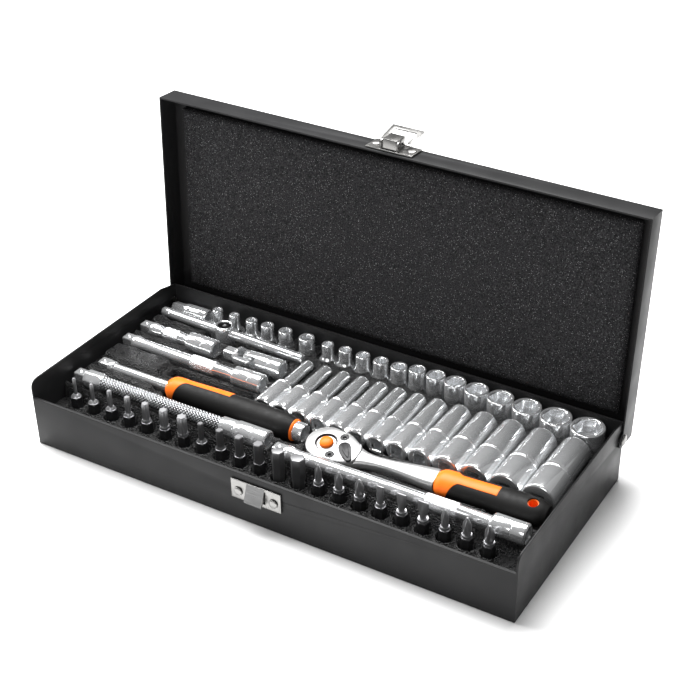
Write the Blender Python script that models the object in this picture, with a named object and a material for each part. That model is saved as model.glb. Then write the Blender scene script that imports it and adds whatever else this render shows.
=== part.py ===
"""Quarter-inch socket wrench set in a hinged sheet-steel case.

Every size below is in millimetres, and make_object turns it into metres. Places are measured from the
case's front left bottom corner: x along the case, y towards the hinge, z up. The model's own origin is
the middle of the case's underside. The lid stands open and leans back on its rear flange.
"""

import math

import bmesh
import bpy
from mathutils import Matrix, Vector

MM = 0.001
GAP = 0.3

CASE_LENGTH = 300.0
CASE_WIDTH = 133.0
FRONT_HEIGHT = 31.0
SIDE_HEIGHT = 42.0
BACK_HEIGHT = 39.0
SHEET = 1.0
CORNER_RADIUS = 5.0
BACK_SLOPE_LENGTH = 14.0

LID_SHEET = 0.9
LID_CLEARANCE = 0.4
LID_RIM = 29.0
LID_TOP = 43.5
LID_BACK_RIM = 33.5
LID_OPEN_ANGLE = math.radians(92.9)
HINGE_Y = CASE_WIDTH - 3.5
HINGE_Z = 29.5
HINGE_PIN_RADIUS = 1.4
HINGE_EAR_RADIUS = 4.8
FOAM_INSET = 7.0
FOAM_THICKNESS = 3.8

LATCH_X = CASE_LENGTH / 2
LATCH_PLATE = (28.6, 12.0, 0.8)
LATCH_RIVET_SPACING = 22.0
LEVER_PIVOT = (4.0, 4.2)
EAR_RADIUS = 2.3
BAIL_PIVOT = (9.3, 3.4)
BAIL_WIDTH = 19.7
BAIL_LENGTH = 15.2
BAIL_REST_ANGLE = math.radians(12)
STRIP = 0.8

KEEPER_SIZE = (31.0, 12.0, 0.8)
KEEPER_BOTTOM = 15.0
KEEPER_TONGUE_WIDTH = 11.0

TRAY_TOP = 27.0
TRAY_BOTTOM = SHEET + GAP
TRAY_FRONT = SHEET + 1.3
STAND_BOTTOM = 12.0
STAND_TOP = 37.0
ROD_HEIGHT = 29.5
GRIP_HEIGHT = 28.0

SIDES = 12
FINE_SIDES = 24
DRIVE = 6.3
DRIVE_HOLE = 6.7
DRIVE_BODY = 11.6
SOCKET_SIZES = (4, 4.5, 5, 5.5, 6, 7, 8, 9, 10, 11, 12, 13, 14)
STAR_SIZES = (3.4, 3.4, 4.0, 4.7, 5.1, 6.1)
STAR_PLACES = (37.3, 49.6, 62.2, 73.6, 86.5, 101.5)
DEEP_LENGTH = 50.0
DEEP_FRONT = 60.5
DEEP_FIRST_X = 112.8
DEEP_GAP = 0.6
DEEP_HEIGHT = 27.5
SHORT_FIRST_X = 116.2
SHORT_GAP = 0.43
BACK_ROW_EDGE = CASE_WIDTH - 1.7

BIT_HEX = 6.35
BIT_FIRST_X = 13.5
BIT_PITCH = 12.45
BIT_Y = 20.2

RATCHET_PLACE = (165.3, 44.4)
RATCHET_ANGLE = math.radians(2.3)
RATCHET_ROLL = math.radians(11)
RATCHET_TOP = 32.8
HEAD_THICKNESS = 11.5
HEAD_RADIUS = 11.4
GRIP_DEPTH = 3.7
LEVER_PLACE = (12.0, -1.2)
SCREW_PLACES = (("front", (6.1, -7.6)), ("back", (7.7, 6.6)))
LEVER_ANGLE = math.radians(-50)

SPINNER_Y = 50.5
T_BAR_START = (4.0, 114.5)
T_BAR_END = (108.0, 111.0)
T_HEAD_DISTANCE = 47.0
JOINT_START = (64.0, 95.0)
JOINT_CENTRE = 17.5
JOINT_SLOT = 7.2
PRONG_REACH = 2.8

STEEL = ((0.80, 0.81, 0.82), 0.12, 1.0)
SATIN_STEEL = ((0.55, 0.56, 0.57), 0.32, 1.0)
BLACK_PAINT = ((0.035, 0.035, 0.037), 0.45, 0.0)
BLACK_PLASTIC = ((0.02, 0.02, 0.02), 0.55, 0.0)
BLACK_RUBBER = ((0.03, 0.03, 0.032), 0.7, 0.0)
FOAM = ((0.03, 0.03, 0.03), 0.95, 0.0)
ORANGE = ((0.9, 0.22, 0.03), 0.4, 0.0)


def clear_scene():
    for thing in list(bpy.data.objects):
        bpy.data.objects.remove(thing, do_unlink=True)


def material(name, finish):
    """A Principled material with this colour, roughness and metallic value."""
    colour, roughness, metallic = finish
    made = bpy.data.materials.new(name)
    made.use_nodes = True
    shader = made.node_tree.nodes["Principled BSDF"]
    shader.inputs["Base Color"].default_value = (*colour, 1.0)
    shader.inputs["Roughness"].default_value = roughness
    shader.inputs["Metallic"].default_value = metallic
    made.diffuse_color = (*colour, 1.0)
    return made


def spot(x, y, z):
    """A place in the case, as millimetres from the middle of its underside."""
    return Vector((x - CASE_LENGTH / 2, y - CASE_WIDTH / 2, z))


def make_object(name, mesh_data, finish, place=(0, 0, 0), turn=None, parent=None):
    """Turns a millimetre bmesh into a named object, placed in metres."""
    bmesh.ops.recalc_face_normals(mesh_data, faces=mesh_data.faces)
    if mesh_data.calc_volume(signed=True) < 0:
        bmesh.ops.reverse_faces(mesh_data, faces=mesh_data.faces)
    bmesh.ops.scale(mesh_data, vec=(MM, MM, MM), verts=mesh_data.verts)
    mesh = bpy.data.meshes.new(name)
    mesh_data.to_mesh(mesh)
    mesh_data.free()
    if finish:
        mesh.materials.append(material(name, finish))
    made = bpy.data.objects.new(name, mesh)
    bpy.context.scene.collection.objects.link(made)
    made.location = Vector(place) * MM
    if turn:
        made.rotation_euler = turn
    made.parent = parent
    mesh.shade_smooth()
    mesh.set_sharp_from_angle(angle=math.radians(35))
    return made


def anchor(name, place, turn=(0, 0, 0)):
    """An empty that the pieces of one tool hang from."""
    made = bpy.data.objects.new(name, None)
    bpy.context.scene.collection.objects.link(made)
    made.location = Vector(place) * MM
    made.rotation_euler = turn
    return made


def helper(made):
    """Marks a cutter or a tool for a union, which is no piece of the set."""
    made.hide_render = True
    made.display_type = "WIRE"
    return made


def boolean(target, other, operation):
    modifier = target.modifiers.new(other.name, "BOOLEAN")
    modifier.operation = operation
    modifier.object = helper(other)


def cut(target, *cutters):
    for cutter in cutters:
        boolean(target, cutter, "DIFFERENCE")


def join(target, *others):
    for other in others:
        boolean(target, other, "UNION")


def box_mesh(low, high, mesh_data=None):
    """A box between two corners, added to a bmesh."""
    mesh_data = mesh_data or bmesh.new()
    size = Vector(high) - Vector(low)
    middle = (Vector(high) + Vector(low)) / 2
    matrix = Matrix.Translation(middle) @ Matrix.Diagonal((*size, 1))
    bmesh.ops.create_cube(mesh_data, size=1, matrix=matrix)
    return mesh_data


def box(name, low, high, finish=None, **where):
    return make_object(name, box_mesh(low, high), finish, **where)


def prism_mesh(outline, depth, direction):
    """A flat outline pushed out along a direction."""
    mesh_data = bmesh.new()
    corners = [mesh_data.verts.new(point) for point in outline]
    face = mesh_data.faces.new(corners)
    pushed = bmesh.ops.extrude_face_region(mesh_data, geom=[face])["geom"]
    moved = [item for item in pushed if isinstance(item, bmesh.types.BMVert)]
    bmesh.ops.translate(mesh_data, verts=moved, vec=Vector(direction) * depth)
    return mesh_data


def arc(centre, radius, start, end, steps):
    """Points of an arc, in degrees, including both of its ends."""
    points = []
    for step in range(steps + 1):
        angle = math.radians(start + (end - start) * step / steps)
        points.append((centre[0] + radius * math.cos(angle), centre[1] + radius * math.sin(angle)))
    return points


def outline_radius(shape, size, angle):
    """Distance from the axis to a round, square or hexagonal outline of this width across its flats."""
    if shape == "round":
        return size / 2
    corners, first_flat = {"square": (4, 0.0), "hex": (6, math.radians(45))}[shape]
    step = math.tau / corners
    from_flat = (angle - first_flat + step / 2) % step - step / 2
    return size / 2 / math.cos(from_flat)


def loft_mesh(stations, sides=SIDES, through=False, mesh_data=None, offset=(0, 0)):
    """Skins sections (height, shape, size) along Z. A through piece runs back down its own bore."""
    mesh_data = mesh_data or bmesh.new()
    rings = []
    for height, shape, size in stations:
        ring = []
        for index in range(sides):
            angle = math.radians(15) + math.tau * index / sides
            radius = outline_radius(shape, size, angle)
            x = offset[0] + radius * math.cos(angle)
            y = offset[1] + radius * math.sin(angle)
            ring.append(mesh_data.verts.new((x, y, height)))
        rings.append(ring)
    pairs = list(zip(rings, rings[1:]))
    if through:
        pairs.append((rings[-1], rings[0]))
    else:
        mesh_data.faces.new(rings[0])
        mesh_data.faces.new(rings[-1])
    for lower, upper in pairs:
        for index in range(sides):
            after = (index + 1) % sides
            mesh_data.faces.new((lower[index], lower[after], upper[after], upper[index]))
    return mesh_data


def loft(name, stations, finish=None, sides=SIDES, through=False, **where):
    return make_object(name, loft_mesh(stations, sides, through), finish, **where)


ALONG_X = (0, math.pi / 2, 0)
ALONG_Y = (-math.pi / 2, 0, 0)


# --- Case -------------------------------------------------------------------------------------------


def side_profile():
    """The case's side wall, with its rounded front corner and the slope at its back."""
    centre = (CORNER_RADIUS, SIDE_HEIGHT - CORNER_RADIUS)
    front = arc(centre, CORNER_RADIUS, 180, 90, 4)
    back = [(CASE_WIDTH - BACK_SLOPE_LENGTH, SIDE_HEIGHT), (CASE_WIDTH, BACK_HEIGHT), (CASE_WIDTH, 0)]
    return [(0, 0), *front, *back]


def make_case_base():
    outline = [spot(0, y, z) for y, z in side_profile()]
    base = make_object("case_base", prism_mesh(outline, CASE_LENGTH, (1, 0, 0)), BLACK_PAINT)
    above = SIDE_HEIGHT + 10
    inner_corner = spot(CASE_LENGTH - SHEET, CASE_WIDTH - SHEET, above)
    inside = box("case_inside", spot(SHEET, SHEET, SHEET), inner_corner)
    front_low = spot(SHEET, -5, FRONT_HEIGHT)
    front_step = box("front_step", front_low, spot(CASE_LENGTH - SHEET, SHEET + 5, above))
    cut(base, inside, front_step)
    reach = SHEET + 2
    for name, x in (("left_pin_hole", 0), ("right_pin_hole", CASE_LENGTH - SHEET)):
        place = spot(x + SHEET / 2 - reach, HINGE_Y, HINGE_Z)
        hole = 2 * (HINGE_PIN_RADIUS + GAP)
        stations = [(0, "round", hole), (2 * reach, "round", hole)]
        cut(base, loft(name, stations, place=place, turn=ALONG_X))
    keeper_holes = [LATCH_X - LATCH_RIVET_SPACING / 2, LATCH_X + LATCH_RIVET_SPACING / 2]
    for index, x in enumerate(keeper_holes):
        place = spot(x, -2, KEEPER_BOTTOM + KEEPER_SIZE[1] / 2 - 1)
        stations = [(0, "round", 3.6), (6, "round", 3.6)]
        cut(base, loft(f"keeper_hole_{index}", stations, place=place, turn=ALONG_Y))


def make_hinge_rivets():
    """Each rivet pins a side flange of the lid to the case, with a head on both sides."""
    lid_outside = LID_CLEARANCE + LID_SHEET + GAP
    for side, x, direction in (("left", 0, 1), ("right", CASE_LENGTH, -1)):
        stations = [
            (-lid_outside - 1.4, "round", 3.6),
            (-lid_outside - 0.8, "round", 6.4),
            (-lid_outside, "round", 7.0),
            (-lid_outside, "round", 2 * HINGE_PIN_RADIUS),
            (SHEET + GAP, "round", 2 * HINGE_PIN_RADIUS),
            (SHEET + GAP, "round", 4.2),
            (SHEET + GAP + 0.8, "round", 3.6),
        ]
        stations = [(distance * direction, shape, size) for distance, shape, size in stations]
        loft(f"hinge_rivet_{side}", stations, SATIN_STEEL, place=spot(x, HINGE_Y, HINGE_Z), turn=ALONG_X)


def make_keeper():
    """The plate on the case's front. Its tongue leans out and down, and the bail hooks under it."""
    width, height, thickness = KEEPER_SIZE
    left = LATCH_X - width / 2
    right = LATCH_X + width / 2
    top = KEEPER_BOTTOM + height
    face = -GAP
    low = spot(left, face - thickness, KEEPER_BOTTOM)
    plate = box("keeper_plate", low, spot(right, face, top), SATIN_STEEL)
    half = KEEPER_TONGUE_WIDTH / 2
    window = box(
        "keeper_window",
        spot(LATCH_X - half - 0.4, face - 5, KEEPER_BOTTOM + 2.2),
        spot(LATCH_X + half + 0.4, face + 5, top - 1.8),
    )
    cut(plate, window)
    tongue = [
        (face - 0.1, top - 0.2),
        (face - thickness, top - 0.2),
        (-4.6, KEEPER_BOTTOM + 2.5),
        (-4.3, KEEPER_BOTTOM + 1.3),
        (-3.5, KEEPER_BOTTOM + 1.7),
        (face - 0.1, top - 3.0),
    ]
    outline = [spot(LATCH_X - half, y, z) for y, z in tongue]
    join(plate, make_object("keeper_tongue", prism_mesh(outline, 2 * half, (1, 0, 0)), None))
    hole_height = KEEPER_BOTTOM + height / 2 - 1
    for index, x in enumerate((-LATCH_RIVET_SPACING / 2, LATCH_RIVET_SPACING / 2)):
        place = spot(LATCH_X + x, -4, hole_height)
        hole = [(0, "round", 3.6), (6, "round", 3.6)]
        cut(plate, loft(f"keeper_rivet_hole_{index}", hole, place=place, turn=ALONG_Y))
        head = face - thickness - GAP
        stations = [
            (head - 1.0, "round", 2.6),
            (head - 0.6, "round", 4.8),
            (head, "round", 5.4),
            (head, "round", 3.0),
            (SHEET + GAP, "round", 3.0),
            (SHEET + GAP, "round", 4.8),
            (SHEET + GAP + 0.6, "round", 4.0),
        ]
        side = ("left", "right")[index]
        place = spot(LATCH_X + x, 0, hole_height)
        loft(f"keeper_rivet_{side}", stations, SATIN_STEEL, place=place, turn=ALONG_Y)


# --- Lid, drawn closed and then turned open about its hinge -----------------------------------------


def make_lid_anchor():
    return anchor("lid_hinge", spot(CASE_LENGTH / 2, HINGE_Y, HINGE_Z), (-LID_OPEN_ANGLE, 0, 0))


def lid_spot(x, y, z):
    """A place on the closed lid, as millimetres from the middle of the hinge."""
    return Vector((x - CASE_LENGTH / 2, y - HINGE_Y, z - HINGE_Z))


def lid_profile():
    """The lid's side flange, closed: its rim, and the ear around each hinge rivet."""
    front = -LID_CLEARANCE - LID_SHEET
    back = HINGE_Y + HINGE_EAR_RADIUS
    ear = arc((HINGE_Y, HINGE_Z), HINGE_EAR_RADIUS, 186, 360, 8)
    return [(front, LID_TOP), (front, LID_RIM), *ear, (back, LID_TOP)]


def make_case_lid(hinge):
    outer = LID_CLEARANCE + LID_SHEET
    outline = [lid_spot(-outer, y, z) for y, z in lid_profile()]
    length = CASE_LENGTH + 2 * outer
    lid = make_object("case_lid", prism_mesh(outline, length, (1, 0, 0)), BLACK_PAINT, parent=hinge)
    low = lid_spot(-LID_CLEARANCE, -LID_CLEARANCE, 0)
    inner_back = CASE_WIDTH + LID_CLEARANCE
    high = lid_spot(CASE_LENGTH + LID_CLEARANCE, inner_back, LID_TOP - LID_SHEET)
    inside = box("lid_inside", low, high, parent=hinge)
    behind = box(
        "lid_back_step",
        lid_spot(-LID_CLEARANCE, CASE_WIDTH - 20, 0),
        lid_spot(CASE_LENGTH + LID_CLEARANCE, CASE_WIDTH + 20, LID_BACK_RIM),
        parent=hinge,
    )
    cut(lid, inside, behind)
    for name, x in (("left_flange_hole", -outer - 2), ("right_flange_hole", CASE_LENGTH - 2)):
        hole = 2 * (HINGE_PIN_RADIUS + GAP)
        stations = [(0, "round", hole), (outer + 4, "round", hole)]
        cut(lid, loft(name, stations, place=lid_spot(x, HINGE_Y, HINGE_Z), turn=ALONG_X, parent=hinge))
    for index, x in enumerate((-LATCH_RIVET_SPACING / 2, LATCH_RIVET_SPACING / 2)):
        place = lid_spot(LATCH_X + x, -outer - 2, latch_height(8))
        stations = [(0, "round", 3.4), (6, "round", 3.4)]
        cut(lid, loft(f"lid_rivet_hole_{index}", stations, place=place, turn=ALONG_Y, parent=hinge))


def make_foam_pad(hinge):
    top = LID_TOP - LID_SHEET - GAP
    low = lid_spot(FOAM_INSET, FOAM_INSET, top - FOAM_THICKNESS)
    high = lid_spot(CASE_LENGTH - FOAM_INSET, CASE_WIDTH - 12, top)
    box("lid_foam_pad", low, high, FOAM, parent=hinge)


# --- Latch: places are (inwards from the lid's rim, out from its front flange) -----------------------


def latch_height(inwards):
    return LID_RIM + inwards


def latch_spot(x, inwards, outwards):
    """A place on the latch: across its middle, inwards from the lid's rim and out from the flange."""
    face = -LID_CLEARANCE - LID_SHEET
    return lid_spot(LATCH_X + x, face - outwards, latch_height(inwards))


def make_latch_base(hinge):
    width, depth, thickness = LATCH_PLATE
    low = latch_spot(-width / 2, 1.6, GAP + thickness)
    high = latch_spot(width / 2, 1.6 + depth, GAP)
    base = box("latch_base", low, high, SATIN_STEEL, parent=hinge)
    ear_inside = 4.6
    for index, x in enumerate((-ear_inside - STRIP, ear_inside)):
        outline = arc(LEVER_PIVOT, EAR_RADIUS, 180, 0, 8)
        outline += [(LEVER_PIVOT[0] + EAR_RADIUS, GAP + 0.2), (LEVER_PIVOT[0] - EAR_RADIUS, GAP + 0.2)]
        points = [latch_spot(x, inwards, outwards) for inwards, outwards in outline]
        ear = make_object(f"latch_ear_{index}", prism_mesh(points, STRIP, (1, 0, 0)), None, parent=hinge)
        join(base, ear)
    across = 2 * ear_inside + 4 * STRIP
    pin_hole = [(0, "round", 2.0), (across, "round", 2.0)]
    where = latch_spot(-across / 2, *LEVER_PIVOT)
    cut(base, loft("lever_pin_hole", pin_hole, place=where, turn=ALONG_X, parent=hinge))
    for index, x in enumerate((-LATCH_RIVET_SPACING / 2, LATCH_RIVET_SPACING / 2)):
        where = latch_spot(x, 8, 3)
        hole = [(0, "round", 3.4), (5, "round", 3.4)]
        cut(base, loft(f"latch_hole_{index}", hole, place=where, turn=ALONG_Y, parent=hinge))
        head = -GAP - thickness - GAP
        stations = [
            (head - 0.5, "round", 3.6),
            (head, "round", 5.0),
            (head, "round", 2.8),
            (LID_SHEET + GAP, "round", 2.8),
            (LID_SHEET + GAP, "round", 4.4),
            (LID_SHEET + GAP + 0.6, "round", 3.6),
        ]
        side = ("left", "right")[index]
        place = latch_spot(x, 8, 0)
        loft(f"latch_rivet_{side}", stations, SATIN_STEEL, place=place, turn=ALONG_Y, parent=hinge)


def make_latch_lever(hinge):
    """The folded thumb lever, with its pivot pin riveted into it."""
    pivot = anchor("lever_pivot", latch_spot(0, *LEVER_PIVOT))
    pivot.parent = hinge
    half = 4.6 - GAP
    inwards, outwards = LEVER_PIVOT
    low = (-half, outwards - 6.9, 2.6 - inwards)
    high = (half, outwards - 1.6, 12.0 - inwards)
    low, high = Vector(low), Vector(high)
    lever = box("latch_lever", low, high, SATIN_STEEL, parent=pivot)
    hollow_low = low + Vector((STRIP, STRIP, STRIP))
    hollow = box("lever_hollow", hollow_low, high + Vector((-STRIP, 5, -STRIP)), parent=pivot)
    cut(lever, hollow)
    for index, x in enumerate((-half + STRIP / 2, half - STRIP / 2)):
        eye = Vector((x - STRIP, outwards - BAIL_PIVOT[1], BAIL_PIVOT[0] - inwards))
        hole = [(0, "round", 1.8), (2 * STRIP, "round", 1.8)]
        cut(lever, loft(f"lever_eye_{index}", hole, place=eye, turn=ALONG_X, parent=pivot))
    reach = 4.6 + STRIP + 0.5
    pin = loft("lever_pin", [(-reach, "round", 1.3), (reach, "round", 1.3)], turn=ALONG_X, parent=pivot)
    join(lever, pin)


def make_latch_bail(hinge):
    """The flat wire loop. Its two ends turn inwards through the slots of the ears into the lever."""
    pivot = anchor("bail_pivot", latch_spot(0, *BAIL_PIVOT), (BAIL_REST_ANGLE, 0, 0))
    pivot.parent = hinge
    half = BAIL_WIDTH / 2
    strap = 3.2
    outline = [
        (-half, -0.8), (-half, BAIL_LENGTH), (half, BAIL_LENGTH), (half, -0.8), (half - strap, -0.8),
        (half - strap, BAIL_LENGTH - strap), (strap - half, BAIL_LENGTH - strap), (strap - half, -0.8),
    ]
    points = [Vector((x, -STRIP / 2, z)) for x, z in outline]
    bail = make_object("latch_bail", prism_mesh(points, STRIP, (0, 1, 0)), SATIN_STEEL, parent=pivot)
    inner = 4.6 - GAP - STRIP - 0.6
    for index, (start, end) in enumerate(((-half + 1, -inner), (inner, half - 1))):
        stations = [(start, "round", 1.2), (end, "round", 1.2)]
        join(bail, loft(f"bail_end_{index}", stations, turn=ALONG_X, parent=pivot))


# --- Tray -------------------------------------------------------------------------------------------


def make_tray():
    """The formed plastic tray. Each pocket is (low x, low y, high x, high y, floor height)."""
    edge = SHEET + GAP
    high = spot(CASE_LENGTH - edge, CASE_WIDTH - edge, TRAY_TOP)
    tray = box("tool_tray", spot(edge, TRAY_FRONT, TRAY_BOTTOM), high, BLACK_PLASTIC)
    bits_end = BIT_FIRST_X + 21 * BIT_PITCH + 5
    pockets = {
        "bit_pocket": (8.5, 15.6, bits_end, 25.2, 11.0),
        "flexible_pocket": (3.0, 26.3, 138.0, 39.8, 22.8),
        "long_pocket": (140.5, 23.6, 292.5, 38.8, 22.8),
        "spinner_shaft_pocket": (6.0, 46.0, 58.0, 55.0, 23.6),
        "spinner_grip_pocket": (56.0, 41.2, 149.5, 59.6, 18.5),
        "ratchet_head_pocket": (152.8, 32.0, 192.0, 59.6, 18.2),
        "ratchet_drive_pocket": (157.6, 39.6, 173.0, 55.6, 10.6),
        "ratchet_grip_pocket": (190.0, 38.0, 297.0, 59.6, 18.5),
        "medium_pocket": (3.0, 70.0, 105.0, 84.2, 22.8),
        "short_pocket": (3.0, 87.0, 60.0, 101.2, 22.8),
        "universal_pocket": (62.0, 85.0, 106.0, 105.4, 22.8),
        "t_bar_channel": (3.0, 106.8, 109.0, 118.8, 24.8),
        "t_bar_head_pocket": (7.0, 104.2, 103.0, 121.2, 10.0),
        "adapter_pocket": (3.0, 119.4, 31.0, 131.2, 19.8),
        "star_pocket": (30.8, 119.2, 108.5, 131.4, 11.0),
        "short_socket_pocket": (109.6, 111.2, 294.5, 131.4, 11.0),
        "small_deep_pocket": (106.4, 59.9, 195.0, 111.4, 21.0),
        "large_deep_pocket": (192.0, 59.9, 293.5, 111.4, 17.0),
        "finger_recess": (45.0, 61.0, 104.0, 68.6, 8.0),
    }
    for name, (low_x, low_y, high_x, high_y, floor) in pockets.items():
        cut(tray, box(name, spot(low_x, low_y, floor), spot(high_x, high_y, TRAY_TOP + 5)))


# --- Sockets and bits ---------------------------------------------------------------------------------


def mouth_diameter(size):
    """Outside diameter at the working end of a quarter-inch drive socket."""
    return 1.33 * size + 0.8 + (1.2 if size < 7 else 0)


def body_diameter(size):
    return max(DRIVE_BODY, mouth_diameter(size))


def row_places(first_x, gap):
    """The x of each hexagon socket in a row, from diameter to diameter with one gap between them."""
    places = [first_x]
    for before, after in zip(SOCKET_SIZES, SOCKET_SIZES[1:]):
        step = (body_diameter(before) + body_diameter(after)) / 2 + gap
        places.append(places[-1] + step)
    return places


def deep_stations(size):
    """A deep socket from its square drive end to its hexagon mouth, and back down its bore."""
    body = body_diameter(size)
    mouth = mouth_diameter(size)
    bore = min(size, DRIVE_HOLE - 0.6)
    return [
        (0, "round", body - 1.4),
        (0.7, "round", body),
        (20.0, "round", body),
        (27.0, "round", mouth),
        (DEEP_LENGTH - 0.4, "round", mouth),
        (DEEP_LENGTH, "round", mouth - 0.8),
        (DEEP_LENGTH, "hex", size),
        (DEEP_LENGTH - 12.0, "hex", size),
        (DEEP_LENGTH - 13.0, "round", bore - 0.2),
        (10.0, "round", bore - 0.2),
        (9.0, "square", DRIVE_HOLE),
        (0, "square", DRIVE_HOLE),
    ]


def make_deep_sockets():
    for size, x in zip(SOCKET_SIZES, row_places(DEEP_FIRST_X, DEEP_GAP)):
        name = f"deep_socket_{size:g}mm".replace(".", "_")
        place = spot(x, DEEP_FRONT, DEEP_HEIGHT)
        loft(name, deep_stations(size), STEEL, through=True, place=place, turn=ALONG_Y)


def short_stations(size, mouth, body, top):
    """A short socket standing on its drive end, with its hexagon mouth up."""
    shoulder = STAND_BOTTOM + 13.0
    return [
        (STAND_BOTTOM, "round", body),
        (shoulder, "round", body),
        (shoulder + 3.0, "round", mouth),
        (top, "round", mouth),
        (top, "hex", size),
        (top - 9.0, "hex", size),
    ]


def make_socket_row(name, sockets):
    """One node for a row of standing sockets, joined by a thin strip under them, inside the tray."""
    mesh_data = bmesh.new()
    places = []
    for x, size, mouth, body, top in sockets:
        y = BACK_ROW_EDGE - body / 2
        centre = spot(x, y, 0)
        loft_mesh(short_stations(size, mouth, body, top), mesh_data=mesh_data, offset=centre.xy)
        places.append((x, y))
    first, last = places[0], places[-1]
    low = spot(first[0] - 3, min(first[1], last[1]) - 1.5, STAND_BOTTOM - 0.6)
    high = spot(last[0] + 3, max(first[1], last[1]) + 1.5, STAND_BOTTOM + 0.8)
    strip = box(name, low, high, STEEL)
    join(strip, make_object(f"{name}_sockets", mesh_data, None))


def make_short_sockets():
    stars = []
    for size, x in zip(STAR_SIZES, STAR_PLACES):
        stars.append((x, size, 1.2 * size + 2.4, DRIVE_BODY, STAND_TOP - 2.0))
    make_socket_row("short_star_sockets", stars)
    hexes = []
    for size, x in zip(SOCKET_SIZES, row_places(SHORT_FIRST_X, SHORT_GAP)):
        top = STAND_TOP - (2.0 if size < 7 else 0)
        hexes.append((x, size, mouth_diameter(size), body_diameter(size), top))
    make_socket_row("short_hex_sockets", hexes)


BIT_GROUPS = {
    "star_bits": [("round", size) for size in (2.0, 2.3, 2.8, 3.4, 4.2, 4.9, 5.7)],
    "hex_bits": [("hex", size) for size in (3.0, 3.7, 4.3, 5.0, 6.3, 7.3)],
    "cross_bits": [("round", size) for size in (3.2, 4.0, 4.8)],
    "slotted_bits": [("round", size) for size in (4.0, 5.0, 6.0)],
    "pozi_bits": [("round", size) for size in (3.2, 4.0, 4.8)],
}


def bit_stations(shape, size):
    """An insert bit standing on its shank: hexagon, neck and tip."""
    neck = STAND_BOTTOM + 14.0
    return [
        (STAND_BOTTOM, "hex", BIT_HEX),
        (neck, "hex", BIT_HEX),
        (neck + 2.5, shape, size),
        (STAND_TOP, shape, size),
    ]


def make_bits():
    """One node for each family of bits, joined by a strip under them, inside the tray."""
    number = 0
    for name, tips in BIT_GROUPS.items():
        mesh_data = bmesh.new()
        first = number
        for shape, size in tips:
            centre = spot(BIT_FIRST_X + number * BIT_PITCH, BIT_Y, 0)
            loft_mesh(bit_stations(shape, size), sides=6, mesh_data=mesh_data, offset=centre.xy)
            number += 1
        low = spot(BIT_FIRST_X + first * BIT_PITCH - 2, BIT_Y - 1.5, STAND_BOTTOM - 0.6)
        high = spot(BIT_FIRST_X + (number - 1) * BIT_PITCH + 2, BIT_Y + 1.5, STAND_BOTTOM + 0.8)
        strip = box(name, low, high, SATIN_STEEL)
        join(strip, make_object(f"{name}_shanks", mesh_data, None))


# --- Bars, handles and joints -------------------------------------------------------------------------


def drive_square(start):
    """The stations of a male square drive, from its chamfered end to its root."""
    return [(start, "square", DRIVE - 1.2), (start + 0.8, "square", DRIVE), (start + 7.5, "square", DRIVE)]


def socket_bore(end):
    """The stations that run back into a female square drive."""
    return [(end, "square", DRIVE_HOLE), (end - 8.0, "square", DRIVE_HOLE)]


def make_extension(name, start, length, y, turn=0.0):
    """A bar with a male square at its left end, a knurled band, and a female square at its right end."""
    socket = length - 20.0
    stations = [
        *drive_square(0),
        (7.5, "round", DRIVE_BODY - 3.0),
        (11.0, "round", DRIVE_BODY - 3.0),
        (16.0, "round", 7.0),
        (socket - 20.0, "round", 7.0),
        (socket - 18.0, "round", 8.6),
        (socket - 2.0, "round", 8.6),
        (socket, "round", DRIVE_BODY),
        (length - 0.6, "round", DRIVE_BODY),
        (length, "round", DRIVE_BODY - 1.2),
        *socket_bore(length),
    ]
    if length < 70:
        del stations[5:7]
    pivot = anchor(f"{name}_axis", spot(start, y, ROD_HEIGHT), (0, 0, turn))
    loft(name, stations, STEEL, turn=ALONG_X, parent=pivot)


def make_extensions():
    make_extension("extension_bar_long", 142.0, 149.0, 28.9, math.radians(0.9))
    make_extension("extension_bar_medium", 4.0, 99.0, 77.0)
    make_extension("extension_bar_short", 4.0, 54.5, 94.0)


def make_flexible_extension():
    """A bar that bends: its two ends and the woven sheath between them."""
    pivot = anchor("flexible_axis", spot(4.0, 33.0, ROD_HEIGHT))
    drive_end = [*drive_square(0), (7.5, "hex", 9.6), (20.0, "hex", 9.6)]
    loft("flexible_drive_end", drive_end, STEEL, turn=ALONG_X, parent=pivot)
    sheath = [(20.0 + GAP, "round", 8.4), (102.0 - GAP, "round", 8.4)]
    loft("flexible_sheath", sheath, SATIN_STEEL, turn=ALONG_X, parent=pivot)
    socket_end = [
        (102.0, "round", 10.4), (111.0, "round", DRIVE_BODY), (131.4, "round", DRIVE_BODY),
        (132.0, "round", DRIVE_BODY - 1.2), *socket_bore(132.0),
    ]
    loft("flexible_socket_end", socket_end, STEEL, turn=ALONG_X, parent=pivot)


def make_bit_adapter():
    stations = [
        (0, "hex", 7.6), (9.0, "hex", 7.6), (10.0, "round", 10.2), (25.4, "round", 10.2),
        (26.0, "round", 9.2), (26.0, "square", DRIVE_HOLE), (18.0, "square", DRIVE_HOLE),
    ]
    loft("bit_adapter", stations, STEEL, place=spot(4.0, 125.5, 26.5), turn=ALONG_X)


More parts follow.
